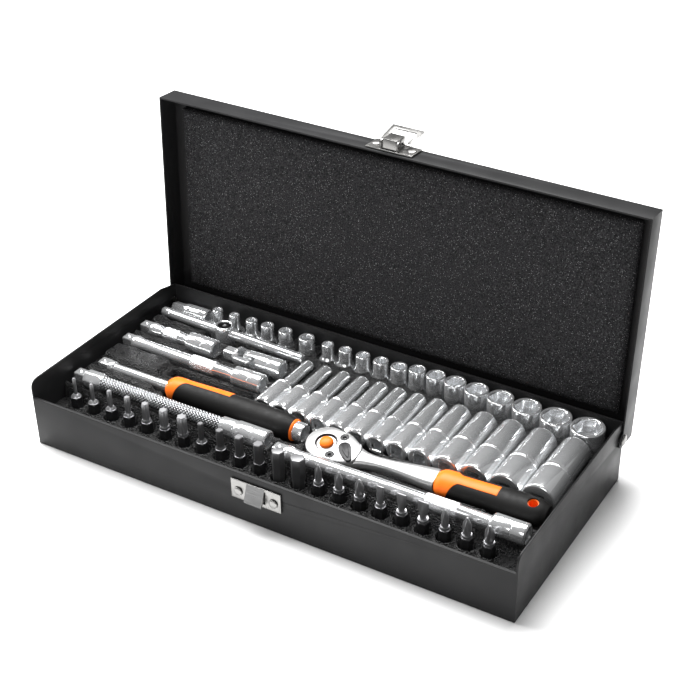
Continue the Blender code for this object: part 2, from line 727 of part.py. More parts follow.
def make_spinner():
    """The screwdriver handle: a shaft with a square, an orange core and a black rubber sleeve over it."""
    pivot = anchor("spinner_axis", spot(7.0, SPINNER_Y, GRIP_HEIGHT))
    shaft = [
        *drive_square(0), (7.5, "round", 8.0), (10.0, "round", 8.0), (12.0, "round", 5.6),
        (50.0 - GAP, "round", 5.6),
    ]
    loft("spinner_shaft", shaft, STEEL, turn=ALONG_X, parent=pivot)
    core = [(50.0, "round", 9.0), (51.0, "round", 13.0), (54.0, "round", 14.6), (58.0 - GAP, "round", 14.6)]
    loft("spinner_grip_collar", core, ORANGE, FINE_SIDES, turn=ALONG_X, parent=pivot)
    sleeve = [
        (58.0, "round", 14.2), (62.0, "round", 14.2), (80.0, "round", 15.6), (110.0, "round", 16.6),
        (128.0, "round", 16.2), (134.0 - GAP, "round", 13.2),
    ]
    loft("spinner_grip_sleeve", sleeve, BLACK_RUBBER, FINE_SIDES, turn=ALONG_X, parent=pivot)
    end = [
        (134.0, "round", 12.8), (136.6, "round", 11.4), (140.8, "round", 10.2),
        (140.8, "square", DRIVE_HOLE), (134.8, "square", DRIVE_HOLE),
    ]
    loft("spinner_end_drive", end, STEEL, turn=ALONG_X, parent=pivot)


def make_t_bar():
    """A sliding T-bar: a rod with balls near its ends, and a head that slides along it."""
    start, end = Vector(T_BAR_START), Vector(T_BAR_END)
    angle = math.atan2(end.y - start.y, end.x - start.x)
    length = (end - start).length
    pivot = anchor("t_bar_axis", spot(start.x, start.y, ROD_HEIGHT), (0, 0, angle))
    stations = [(0, "round", 5.0), (1.0, "round", 6.2), (length - 1.0, "round", 6.2), (length, "round", 5.0)]
    loft("t_bar_rod", stations, STEEL, turn=ALONG_X, parent=pivot)
    bottom = -15.0
    head_stations = [
        *drive_square(bottom), (bottom + 7.5, "round", 10.0), (-5.4, "round", 11.6), (4.4, "round", 11.6),
        (5.4, "round", 10.2),
    ]
    place = (T_HEAD_DISTANCE, 0, 0)
    head = loft("t_bar_head", head_stations, STEEL, place=place, parent=pivot)
    bore = [(T_HEAD_DISTANCE - 8, "round", 6.9), (T_HEAD_DISTANCE + 8, "round", 6.9)]
    cut(head, loft("t_bar_bore", bore, turn=ALONG_X, parent=pivot))


def make_fork(name, stations, pivot, side):
    """A fork whose two prongs stand either side of a slot. Side is 1 where they point along +X."""
    fork = loft(name, stations, STEEL, turn=ALONG_X, parent=pivot)
    far = 12.0
    slot_half = 3.3
    prong_half = 2.7
    for part, low_side, high_side, start in (
        ("slot", -slot_half, slot_half, JOINT_SLOT),
        ("below", -far, -prong_half, JOINT_SLOT - 1.4),
        ("above", prong_half, far, JOINT_SLOT - 1.4),
    ):
        ends = sorted((JOINT_CENTRE - side * start, JOINT_CENTRE + side * far))
        across = (low_side, high_side) if (part == "slot") == (side == 1) else (-far, far)
        upright = (low_side, high_side) if (part == "slot") != (side == 1) else (-far, far)
        low = (ends[0], across[0], upright[0])
        cut(fork, box(f"{name}_{part}", low, (ends[1], across[1], upright[1]), parent=pivot))
    hole = [(-far, "round", 2.9), (far, "round", 2.9)]
    turn = ALONG_Y if side == 1 else None
    cut(fork, loft(f"{name}_holes", hole, place=(JOINT_CENTRE, 0, 0), turn=turn, parent=pivot))


def make_universal_joint():
    """Two forks at right angles, with a cross block pinned between them."""
    pivot = anchor("universal_axis", spot(*JOINT_START, ROD_HEIGHT))
    end = JOINT_CENTRE + 23.0
    drive_fork = [
        *drive_square(0), (7.5, "round", 9.0), (9.5, "round", DRIVE_BODY),
        (JOINT_CENTRE + PRONG_REACH, "round", DRIVE_BODY),
    ]
    socket_fork = [
        (JOINT_CENTRE - PRONG_REACH, "round", DRIVE_BODY), (end - 0.6, "round", DRIVE_BODY),
        (end, "round", DRIVE_BODY - 1.2), *socket_bore(end),
    ]
    make_fork("universal_drive_fork", drive_fork, pivot, 1)
    make_fork("universal_socket_fork", socket_fork, pivot, -1)
    half = 2.9
    low = (JOINT_CENTRE - half, -half, -half)
    block = box("universal_cross", low, (JOINT_CENTRE + half, half, half), STEEL, parent=pivot)
    pin = [(-5.6, "round", 2.2), (5.6, "round", 2.2)]
    place = (JOINT_CENTRE, 0, 0)
    join(
        block,
        loft("cross_pin_across", pin, place=place, turn=ALONG_Y, parent=pivot),
        loft("cross_pin_upright", pin, place=place, parent=pivot),
    )


# --- Ratchet, drawn about the middle of its head, with its handle along +X -----------------------------


def mirrored(points):
    """A closed outline from the points of its +Y side."""
    other_side = [(x, -y) for x, y in reversed(points)]
    return [*points, *other_side]


def ratchet_outline(shrink=0.0):
    """The head's outline as far as the neck, seen from above, inwards by this much."""
    head = arc((0, 0), HEAD_RADIUS - shrink, 72, 288, 14)
    front = [(8.5, -10.8), (12.0, -10.5), (17.6, -9.0)]
    back = [(17.0, 6.0), (12.0, 9.2), (8.5, 10.4)]
    return head, [(x, y + shrink) for x, y in front], [(x, y - shrink) for x, y in back]


def make_ratchet_body(pivot):
    head, front, back = ratchet_outline()
    front_neck = [(22.5, -6.4), (28.0, -4.6), (36.0, -4.1), (46.0, -4.8), (58.0, -6.2), (66.0, -6.6)]
    back_neck = [(66.0, 6.6), (58.0, 6.2), (46.0, 4.6), (36.0, 3.4), (28.0, 3.0), (22.0, 3.4)]
    bottom = -HEAD_THICKNESS
    points = [Vector((x, y, bottom)) for x, y in (*head, *front, *front_neck, *back_neck, *back)]
    body = make_object("ratchet_body", prism_mesh(points, HEAD_THICKNESS, (0, 0, 1)), STEEL, parent=pivot)
    far = 20.0
    neck_low = -GRIP_DEPTH - 3.6
    cut(body, box("neck_underside", (19.5, -far, -far), (80.0, far, neck_low), parent=pivot))
    cut(body, box("neck_top", (21.0, -far, -0.8), (80.0, far, far), parent=pivot))
    gear_room = [(bottom + 2.0, "round", 16.6), (far, "round", 16.6)]
    drive_room = [(bottom - 5.0, "round", 13.4), (bottom + 5.0, "round", 13.4)]
    pawl_room = box("pawl_room", (6.0, -5.0, bottom + 3.0), (14.8, 4.6, far), parent=pivot)
    cut(body, loft("gear_room", gear_room, sides=FINE_SIDES, parent=pivot))
    cut(body, loft("drive_room", drive_room, sides=FINE_SIDES, parent=pivot), pawl_room)
    recess = [Vector((x, y, -1.6)) for x, y in cover_outline(-GAP)]
    cut(body, make_object("cover_recess", prism_mesh(recess, far, (0, 0, 1)), None, parent=pivot))
    for side, (x, y) in SCREW_PLACES:
        hole = [(-8.0, "round", 2.2), (far, "round", 2.2)]
        cut(body, loft(f"{side}_screw_hole", hole, place=(x, y, 0), parent=pivot))


def cover_outline(inset):
    """The cover plate's edge, inside the head's by the rim's width."""
    rim = 1.1 + inset
    head, front, back = ratchet_outline(rim)
    return [*head, *front[:-1], (17.0 - rim, -8.9 + rim), (17.0 - rim, 6.2 - rim), *back[1:]]


def make_ratchet_cover(pivot):
    points = [Vector((x, y, -1.6 + GAP)) for x, y in cover_outline(0.0)]
    cover = make_object("ratchet_cover", prism_mesh(points, 1.6 - GAP, (0, 0, 1)), STEEL, parent=pivot)
    far = 5.0
    ring_hole = [(-far, "round", 12.6), (far, "round", 12.6)]
    cut(cover, loft("ring_hole", ring_hole, sides=FINE_SIDES, parent=pivot))
    post = [(-far, "round", 4.6), (far, "round", 4.6)]
    cut(cover, loft("lever_post_hole", post, place=(*LEVER_PLACE, 0), parent=pivot))
    for side, (x, y) in SCREW_PLACES:
        place = (x, y, 0)
        sink = [(-far, "round", 2.2), (-1.0, "round", 2.2), (0.1, "round", 5.2), (far, "round", 5.2)]
        cut(cover, loft(f"{side}_screw_sink", sink, place=place, parent=pivot))
        screw = [(-6.0, "round", 1.6), (-0.8, "round", 1.6), (-0.1, "round", 4.0)]
        loft(f"cover_screw_{side}", screw, BLACK_PAINT, place=place, parent=pivot)


def make_ratchet_drive(pivot):
    """The toothed drive wheel, with its ring in the cover and its hub and male square below the head."""
    bottom = -HEAD_THICKNESS
    stations = [
        *drive_square(bottom - 8.0),
        (bottom - 0.5, "round", 12.6),
        (bottom + 2.0 + GAP, "round", 12.6),
        (bottom + 2.0 + GAP, "round", 15.8),
        (-4.0, "round", 15.8),
        (-4.0, "round", 12.0),
        (-0.3, "round", 12.0),
        (-0.3, "round", 8.2),
        (-4.8, "round", 8.2),
    ]
    loft("ratchet_drive", stations, STEEL, FINE_SIDES, parent=pivot)
    button = [(-3.4, "round", 7.6), (-0.2, "round", 7.6), (0.7, "round", 6.4), (1.1, "round", 4.4)]
    loft("quick_release_button", button, ORANGE, FINE_SIDES, parent=pivot)


def make_reversing_lever(pivot):
    """The thumb lever on its post. It lies to one side, for one direction of the ratchet."""
    place = anchor("lever_post", (*LEVER_PLACE, 0), (0, 0, LEVER_ANGLE))
    place.parent = pivot
    side = [*arc((0, 0), 3.3, 180, 80, 4), (6.0, 2.4), (9.8, 1.3)]
    points = [Vector((x, y, GAP)) for x, y in mirrored(side)]
    lever = make_object("reversing_lever", prism_mesh(points, 1.6, (0, 0, 1)), BLACK_PAINT, parent=place)
    post = [(-5.5, "round", 3.8), (1.0, "round", 3.8)]
    join(lever, loft("lever_post_pin", post, parent=place))


def flattened(stations, width, sides=FINE_SIDES):
    """A loft with its width stretched across, for a grip that is wider than it is thick."""
    mesh_data = loft_mesh(stations, sides)
    bmesh.ops.scale(mesh_data, vec=(1, width, 1), verts=mesh_data.verts)
    return mesh_data


def make_ratchet_grip(pivot):
    """The handle's orange collar and its black rubber sleeve, on a tang of the body."""
    middle = anchor("ratchet_grip_axis", (0, 0, -GRIP_DEPTH))
    middle.parent = pivot
    collar = [(66.0 + GAP, "round", 11.4), (68.0, "round", 13.0), (72.0, "round", 13.6)]
    sleeve = [
        (72.0 + GAP, "round", 13.2), (80.0, "round", 13.6), (98.0, "round", 14.2), (118.0, "round", 14.6),
        (125.0, "round", 13.4), (128.0, "round", 10.4),
    ]
    stretch = 1.16
    mesh_data = flattened(collar, stretch)
    make_object("ratchet_grip_collar", mesh_data, ORANGE, turn=ALONG_X, parent=middle)
    mesh_data = flattened(sleeve, stretch)
    grip = make_object("ratchet_grip_sleeve", mesh_data, BLACK_RUBBER, turn=ALONG_X, parent=middle)
    hole = [(-20.0, "round", 5.0), (20.0, "round", 5.0)]
    cut(grip, loft("hanging_hole", hole, place=(121.5, 0, 0), parent=middle))


def make_ratchet():
    pivot = anchor("ratchet_axis", spot(*RATCHET_PLACE, RATCHET_TOP), (RATCHET_ROLL, 0, RATCHET_ANGLE))
    make_ratchet_body(pivot)
    make_ratchet_cover(pivot)
    make_ratchet_drive(pivot)
    make_reversing_lever(pivot)
    make_ratchet_grip(pivot)


def main():
    clear_scene()
    make_case_base()
    make_hinge_rivets()
    make_keeper()
    hinge = make_lid_anchor()
    make_case_lid(hinge)
    make_foam_pad(hinge)
    make_latch_base(hinge)
    make_latch_lever(hinge)
    make_latch_bail(hinge)
    make_tray()
    make_deep_sockets()
    make_short_sockets()
    make_bits()
    make_extensions()
    make_flexible_extension()
    make_bit_adapter()
    make_spinner()
    make_t_bar()
    make_universal_joint()
    make_ratchet()


main()
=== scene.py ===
import math

import bmesh
import bpy
import numpy as np
from mathutils import Matrix, Vector


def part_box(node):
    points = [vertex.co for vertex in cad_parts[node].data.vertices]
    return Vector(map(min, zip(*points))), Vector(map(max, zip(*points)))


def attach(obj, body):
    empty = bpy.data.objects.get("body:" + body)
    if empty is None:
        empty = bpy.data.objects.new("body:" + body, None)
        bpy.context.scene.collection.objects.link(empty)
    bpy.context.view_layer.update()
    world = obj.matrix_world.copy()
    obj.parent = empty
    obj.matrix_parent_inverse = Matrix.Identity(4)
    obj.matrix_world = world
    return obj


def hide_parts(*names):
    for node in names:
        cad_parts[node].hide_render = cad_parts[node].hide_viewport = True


# Sizes are in millimetres. Places are measured from the case's front left bottom corner, and spot()
# turns them into the frame's own metres.
MM = 0.001
CASE_LENGTH = 300.0
CASE_WIDTH = 133.0
CASE_FRONT_HEIGHT = 31.0
ROD_HEIGHT = 29.5
GRIP_HEIGHT = 28.0
DRIVE_BODY = 11.6
DRIVE = 6.3
DRIVE_HOLE = 6.7
STAND_BOTTOM = 12.0
STAND_TOP = 37.0
SOCKET_SIZES = (4, 4.5, 5, 5.5, 6, 7, 8, 9, 10, 11, 12, 13, 14)
STAR_SIZES = (3.4, 3.4, 4.0, 4.7, 5.1, 6.1)
STAR_PLACES = (37.3, 49.6, 62.2, 73.6, 86.5, 101.5)
DEEP_FRONT = 60.5
DEEP_LENGTH = 50.0
DEEP_HEIGHT = 27.5
BACK_ROW_EDGE = CASE_WIDTH - 1.7
BIT_FIRST_X = 13.5
BIT_PITCH = 12.45
BIT_COUNT = 22
BIT_Y = 20.2
LID_LEAN = math.radians(2.9)
TRAY_LEVEL = 26.6
HINGE_IN = 3.5
HINGE_HEIGHT = 29.5
SHANK_HEX = 6.35
BIG_HEX = 5.2
HEAD_DEPTH = 11.5
JOINT_CENTRE = 17.5
PRONG_REACH = 2.8
PRONG_HALF = 2.7
SLOT_HALF = 3.3

ROUND_SIDES = 48
FINE_SIDES = 96
EDGE = 0.14

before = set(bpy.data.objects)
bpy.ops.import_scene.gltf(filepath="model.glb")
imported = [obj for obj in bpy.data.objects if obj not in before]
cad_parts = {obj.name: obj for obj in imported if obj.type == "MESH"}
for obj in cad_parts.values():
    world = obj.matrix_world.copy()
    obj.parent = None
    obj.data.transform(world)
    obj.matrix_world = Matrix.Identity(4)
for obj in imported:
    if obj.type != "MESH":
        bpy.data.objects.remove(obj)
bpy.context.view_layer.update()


def spot(x, y, z):
    return Vector((x - CASE_LENGTH / 2, y - CASE_WIDTH / 2, z)) * MM


# --- Materials ----------------------------------------------------------------------------------------


class Surface:
    """A material with its Principled shader, and short calls for the nodes that feed it."""

    def __init__(self, name, colour, roughness, metallic=0.0):
        self.material = bpy.data.materials.new(name)
        self.material.use_nodes = True
        self.tree = self.material.node_tree
        self.shader = self.tree.nodes["Principled BSDF"]
        self.shader.inputs["Base Color"].default_value = (*colour, 1.0)
        self.shader.inputs["Roughness"].default_value = roughness
        self.shader.inputs["Metallic"].default_value = metallic
        self.shader.inputs["Specular IOR Level"].default_value = 0.5 if metallic else 0.18
        self.place = self.tree.nodes.new("ShaderNodeTexCoord").outputs["Object"]

    def node(self, kind, inputs=None, **settings):
        made = self.tree.nodes.new(kind)
        for name, value in settings.items():
            setattr(made, name, value)
        for name, value in (inputs or {}).items():
            if isinstance(value, bpy.types.NodeSocket):
                self.tree.links.new(value, made.inputs[name])
            else:
                made.inputs[name].default_value = value
        return made

    def noise(self, scale, detail=3.0, place=None):
        """Noise with so many cells to the metre."""
        inputs = {"Vector": place or self.place, "Scale": scale, "Detail": detail}
        return self.node("ShaderNodeTexNoise", inputs).outputs["Fac"]

    def ramp(self, value, low, high, start, end):
        """Maps a value from low..high to start..end."""
        inputs = {"Value": value, "From Min": low, "From Max": high, "To Min": start, "To Max": end}
        return self.node("ShaderNodeMapRange", inputs).outputs["Result"]

    def mix(self, factor, first, second):
        inputs = {"Factor": factor, "A": first, "B": second}
        made = self.tree.nodes.new("ShaderNodeMix")
        made.data_type = "RGBA"
        for name, value in inputs.items():
            wanted = "VALUE" if name == "Factor" else "RGBA"
            socket = next(s for s in made.inputs if s.name == name and s.type == wanted)
            if isinstance(value, bpy.types.NodeSocket):
                self.tree.links.new(value, socket)
            else:
                socket.default_value = value
        return next(s for s in made.outputs if s.type == "RGBA")

    def feed(self, name, value):
        self.tree.links.new(value, self.shader.inputs[name])

    def bump(self, height, strength, distance):
        inputs = {"Height": height, "Strength": strength, "Distance": distance * MM}
        self.feed("Normal", self.node("ShaderNodeBump", inputs).outputs["Normal"])


def powder_coat():
    made = Surface("powder_coat", (0.016, 0.016, 0.017), 0.42)
    peel = made.noise(850.0, 2.0)
    made.feed("Roughness", made.ramp(made.noise(60.0), 0.3, 0.7, 0.36, 0.48))
    cloud = made.ramp(made.noise(25.0), 0.3, 0.7, 0.0, 1.0)
    made.feed("Base Color", made.mix(cloud, (0.011, 0.011, 0.0115, 1), (0.015, 0.015, 0.0155, 1)))
    made.bump(peel, 0.22, 0.06)
    return made.material


def tray_plastic():
    made = Surface("tray_plastic", (0.0045, 0.0045, 0.0048), 0.4)
    pebble = made.node("ShaderNodeTexVoronoi", {"Vector": made.place, "Scale": 1050.0}).outputs["Distance"]
    grain = made.noise(1900.0, 4.0)
    both = made.node("ShaderNodeMath", {0: pebble, 1: grain}, operation="ADD").outputs["Value"]
    made.feed("Roughness", made.ramp(made.noise(500.0), 0.35, 0.65, 0.26, 0.52))
    made.shader.inputs["Specular IOR Level"].default_value = 0.5
    made.bump(both, 1.0, 1.1)
    return made.material


def foam():
    made = Surface("lid_foam", (0.03, 0.03, 0.032), 0.95)
    fleck = made.noise(1500.0, 5.0)
    mottle = made.ramp(fleck, 0.4, 0.62, 0.0, 1.0)
    dark = made.mix(mottle, (0.010, 0.010, 0.011, 1), (0.045, 0.045, 0.047, 1))
    spots = made.node("ShaderNodeTexVoronoi", {"Vector": made.place, "Scale": 900.0}).outputs["Distance"]
    bright = made.ramp(spots, 0.10, 0.17, 1.0, 0.0)
    made.feed("Base Color", made.mix(bright, dark, (0.42, 0.42, 0.43, 1)))
    made.bump(fleck, 0.9, 0.5)
    return made.material


def metal(name, colour, low, high, scratch=0.0, metallic=1.0):
    """A plated or ground metal whose roughness drifts between low and high."""
    made = Surface(name, colour, low, metallic)
    made.feed("Roughness", made.ramp(made.noise(160.0, 4.0), 0.3, 0.7, low, high))
    cloud = made.ramp(made.noise(90.0), 0.35, 0.65, 0.0, 1.0)
    duller = tuple(value * 0.93 for value in colour)
    made.feed("Base Color", made.mix(cloud, (*duller, 1), (*colour, 1)))
    if scratch:
        made.bump(made.noise(1400.0, 4.0), scratch, 0.05)
    return made.material


def brushed(name, colour, roughness, along=(0.04, 1.0, 1.0)):
    """Metal with fine lines drawn along one of its own axes."""
    made = Surface(name, colour, roughness, 1.0)
    inputs = {"Vector": made.place, "Scale": along}
    stretched = made.node("ShaderNodeMapping", inputs).outputs["Vector"]
    lines = made.noise(3500.0, 2.0, stretched)
    made.feed("Roughness", made.ramp(lines, 0.3, 0.7, roughness * 0.7, roughness * 1.3))
    made.bump(lines, 0.35, 0.03)
    return made.material


def rubber():
    made = Surface("grip_rubber", (0.0045, 0.0043, 0.0041), 0.5)
    made.feed("Roughness", made.ramp(made.noise(300.0), 0.3, 0.7, 0.48, 0.64))
    made.bump(made.noise(2600.0, 2.0), 0.3, 0.08)
    return made.material


def orange():
    made = Surface("orange_plastic", (0.90, 0.17, 0.015), 0.38)
    cloud = made.ramp(made.noise(120.0), 0.3, 0.7, 0.0, 1.0)
    made.feed("Base Color", made.mix(cloud, (0.86, 0.155, 0.012, 1), (0.94, 0.185, 0.018, 1)))
    made.bump(made.noise(1500.0), 0.15, 0.05)
    return made.material


def black_coated():
    made = Surface("black_coated", (0.018, 0.018, 0.019), 0.33)
    made.feed("Roughness", made.ramp(made.noise(400.0), 0.3, 0.7, 0.26, 0.42))
    made.bump(made.noise(1800.0), 0.2, 0.05)
    return made.material


PAINT = powder_coat()
TRAY = tray_plastic()
FOAM = foam()
CHROME = metal("polished_chrome", (0.92, 0.93, 0.94), 0.10, 0.16, metallic=0.80)
SATIN = metal("satin_chrome", (0.34, 0.34, 0.34), 0.30, 0.38, 0.12, 0.6)
NICKEL = metal("nickel", (0.30, 0.296, 0.288), 0.26, 0.34)
DRAWN_NICKEL = brushed("drawn_nickel", (0.15, 0.15, 0.15), 0.36)
WOVEN = metal("woven_steel", (0.24, 0.245, 0.25), 0.22, 0.30)
BIT_BLACK = metal("bit_shank", (0.14, 0.14, 0.145), 0.28, 0.38, 0.2)
BIT_GREY = metal("bit_steel", (0.20, 0.20, 0.205), 0.30, 0.40, 0.2, 0.7)
BIT_TIP = metal("bit_tip", (0.42, 0.42, 0.43), 0.26, 0.36, 0.1, 0.75)
RUBBER = rubber()
ORANGE = orange()
BLACK = black_coated()
DARK_STEEL = metal("dark_steel", (0.12, 0.12, 0.125), 0.2, 0.3, 0.1)


# --- Mesh tools ---------------------------------------------------------------------------------------


def mesh_object(name, mesh_data, surface, place=None, edge=EDGE, segments=2, sharp=38.0):
    """A millimetre bmesh as a finished object, bevelled, and smooth apart from what stays sharp."""
    bmesh.ops.recalc_face_normals(mesh_data, faces=mesh_data.faces)
    if mesh_data.calc_volume(signed=True) < 0:
        bmesh.ops.reverse_faces(mesh_data, faces=mesh_data.faces)
    bmesh.ops.scale(mesh_data, vec=(MM, MM, MM), verts=mesh_data.verts)
    mesh = bpy.data.meshes.new(name)
    mesh_data.to_mesh(mesh)
    mesh_data.free()
    made = bpy.data.objects.new(name, mesh)
    bpy.context.scene.collection.objects.link(made)
    if place is not None:
        made.matrix_world = place
    if edge:
        modifier = made.modifiers.new("edge", "BEVEL")
        modifier.width = edge * MM
        modifier.segments = segments
        modifier.limit_method = "ANGLE"
        modifier.angle_limit = math.radians(28)
        modifier.use_clamp_overlap = True
        settle(made)
    for item in surface if isinstance(surface, (list, tuple)) else [surface]:
        made.data.materials.append(item)
    made.data.shade_smooth()
    made.data.set_sharp_from_angle(angle=math.radians(sharp))
    return made


def settle(made):
    """Puts an object's modifiers into its mesh."""
    bpy.context.view_layer.update()
    done = bpy.data.meshes.new_from_object(made.evaluated_get(bpy.context.evaluated_depsgraph_get()))
    made.modifiers.clear()
    made.data = done


def lofted_piece(name, stations, surface, place, body, slot, *nodes, **more):
    return finish_piece(loft(name, stations, surface, place, **more), body, slot, *nodes)


def finish_piece(made, body, slot, *nodes):
    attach(made, body)
    if nodes:
        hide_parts(*nodes)
    return made


def outline_radius(shape, size, angle, height):
    """Distance from the axis to an outline of this width across its flats, with its corners eased."""
    if callable(shape):
        return shape(size, angle, height)
    corners, first_flat, eased = {
        "square": (4, 0.0, 1.31),
        "hex": (6, math.radians(45), 1.125),
    }[shape]
    step = math.tau / corners
    from_flat = (angle - first_flat + step / 2) % step - step / 2
    return min(size / 2 / math.cos(from_flat), size / 2 * eased)


def skin(mesh_data, rings, through=False):
    """Joins rings of vertices. The end rings are closed over, or joined to each other if it goes through."""
    pairs = list(zip(rings, rings[1:]))
    if through:
        pairs.append((rings[-1], rings[0]))
    else:
        mesh_data.faces.new(rings[0])
        mesh_data.faces.new(rings[-1])
    sides = len(rings[0])
    for lower, upper in pairs:
        for index in range(sides):
            after = (index + 1) % sides
            mesh_data.faces.new((lower[index], lower[after], upper[after], upper[index]))
    return mesh_data


def loft_mesh(stations, sides=ROUND_SIDES, through=False):
    """Skins sections (height, shape, size) along Z. A section with no shape is round.

    A through piece runs back down its own bore.
    """
    mesh_data = bmesh.new()
    rings = []
    for height, *shape, size in stations:
        ring = []
        for index in range(sides):
            angle = math.tau * index / sides
            radius = outline_radius(shape[0], size, angle, height) if shape else size / 2
            ring.append(mesh_data.verts.new((radius * math.cos(angle), radius * math.sin(angle), height)))
        rings.append(ring)
    return skin(mesh_data, rings, through)


def loft(name, stations, surface, place, sides=ROUND_SIDES, through=False, edge=EDGE, **more):
    return mesh_object(name, loft_mesh(stations, sides, through), surface, place, edge, **more)


def standing(x, y, z=0.0):
    """A placement whose Z is up."""
    return Matrix.Translation(spot(x, y, z))


def turned_axes():
    """Turns a piece made along Z so that it lies along X, with its own X up."""
    return Matrix(((0, 0, 1), (0, 1, 0), (-1, 0, 0))).to_4x4() @ Matrix.Rotation(math.pi, 4, "Z")


def lying(x, y, z, turn=0.0):
    """A placement whose Z runs along the case, and whose X is up."""
    return standing(x, y, z) @ Matrix.Rotation(turn, 4, "Z") @ turned_axes()


def facing_back(x, y, z):
    """A placement whose Z runs towards the hinge, and whose X is up."""
    return lying(x, y, z, math.pi / 2)


def prism(outline, low, high):
    """A flat outline between two heights."""
    mesh_data = bmesh.new()
    rings = [[mesh_data.verts.new((x, y, height)) for x, y in outline] for height in (low, high)]
    return skin(mesh_data, rings)


def block_mesh(low, high):
    """A plain block between two corners."""
    mesh_data = bmesh.new()
    matrix = Matrix.Translation((low + high) / 2) @ Matrix.Diagonal((*(high - low), 1))
    bmesh.ops.create_cube(mesh_data, size=1, matrix=matrix)
    return mesh_data


def arc(centre, radius, start, end, steps):
    points = []
    for step in range(steps + 1):
        angle = math.radians(start + (end - start) * step / steps)
        points.append((centre[0] + radius * math.cos(angle), centre[1] + radius * math.sin(angle)))
    return points


def softened(name, node, surface, body, slot, edge, segments=3):
    """A CAD node's own shape with its edges rounded over, for folded and stamped sheet."""
    mesh_data = bmesh.new()
    mesh_data.from_mesh(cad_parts[node].data)
    bmesh.ops.remove_doubles(mesh_data, verts=mesh_data.verts, dist=0.00001)
    bmesh.ops.dissolve_limit(
        mesh_data, angle_limit=math.radians(1.0), verts=mesh_data.verts, edges=mesh_data.edges
    )
    bmesh.ops.scale(mesh_data, vec=(1 / MM,) * 3, verts=mesh_data.verts)
    made = mesh_object(name, mesh_data, surface, edge=edge, segments=segments)
    return finish_piece(made, body, slot, node)


# --- Case, lid and latch ------------------------------------------------------------------------------


def make_case():
    softened("case_shell", "case_base", PAINT, "case", "case_paint", 0.3)
    softened("lid_shell", "case_lid", PAINT, "lid", "case_paint", 0.28)
    made = softened("keeper", "keeper_plate", [NICKEL, DRAWN_NICKEL], "case", "nickel", 0.2)
    for face in made.data.polygons:
        middle = (made.matrix_world @ face.center) / MM
        if abs(middle.x) < 5.9 and middle.y < -CASE_WIDTH / 2 - 1.6 and face.normal.y < -0.3:
            face.material_index = 1
    softened("latch_plate", "latch_base", NICKEL, "lid", "nickel", 0.2)
    softened("latch_thumb_lever", "latch_lever", NICKEL, "latch_lever", "nickel", 0.22)
    softened("latch_loop", "latch_bail", NICKEL, "latch_bail", "nickel", 0.2)


def make_hem():
    """The front wall's top edge is folded over, so a strip of it stands a little proud inside."""
    low = spot(1.2, 0.55, CASE_FRONT_HEIGHT - 2.6) / MM
    high = spot(CASE_LENGTH - 1.2, 1.9, CASE_FRONT_HEIGHT + 0.12) / MM
    made = mesh_object("front_hem", block_mesh(low, high), PAINT, edge=0.5, segments=4)
    finish_piece(made, "case", "case_paint")


def dome(radius, height, steps=7):
    """Stations of a rivet's domed head, from its rim up."""
    stations = []
    for step in range(steps + 1):
        angle = math.pi / 2 * step / steps
        stations.append((height * math.sin(angle), 2 * max(radius * math.cos(angle), 0.08)))
    return stations


def rivet_head(name, node, body, direction, radius, height):
    """A domed head that stands for a CAD rivet, on the side that shows."""
    low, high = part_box(node)
    centre = (low + high) / 2
    along = Vector(direction)
    reach = abs((high - low).dot(along)) / 2
    base = centre + along * (reach - height * MM)
    turn = along.to_track_quat("Z", "Y").to_matrix().to_4x4()
    shank = [(-2 * reach / MM + height + 0.2, radius * 0.9), (-0.02, radius * 0.9)]
    stations = [*shank, (-0.01, 2 * radius), (0.22, 2 * radius)]
    stations += [(z + 0.22, size * 0.97) for z, size in dome(radius, height - 0.25)]
    lofted_piece(name, stations, NICKEL, Matrix.Translation(base) @ turn, body, "nickel", node, edge=0)


def make_rivets():
    lid_out = Vector((0, -math.sin(LID_LEAN), math.cos(LID_LEAN)))
    for side in ("left", "right"):
        outwards = (-1, 0, 0) if side == "left" else (1, 0, 0)
        rivet_head(f"hinge_stud_{side}", f"hinge_rivet_{side}", "case", outwards, 3.4, 1.35)
        rivet_head(f"keeper_stud_{side}", f"keeper_rivet_{side}", "case", (0, -1, 0), 2.6, 0.95)
        rivet_head(f"latch_stud_{side}", f"latch_rivet_{side}", "lid", lid_out, 2.4, 0.6)


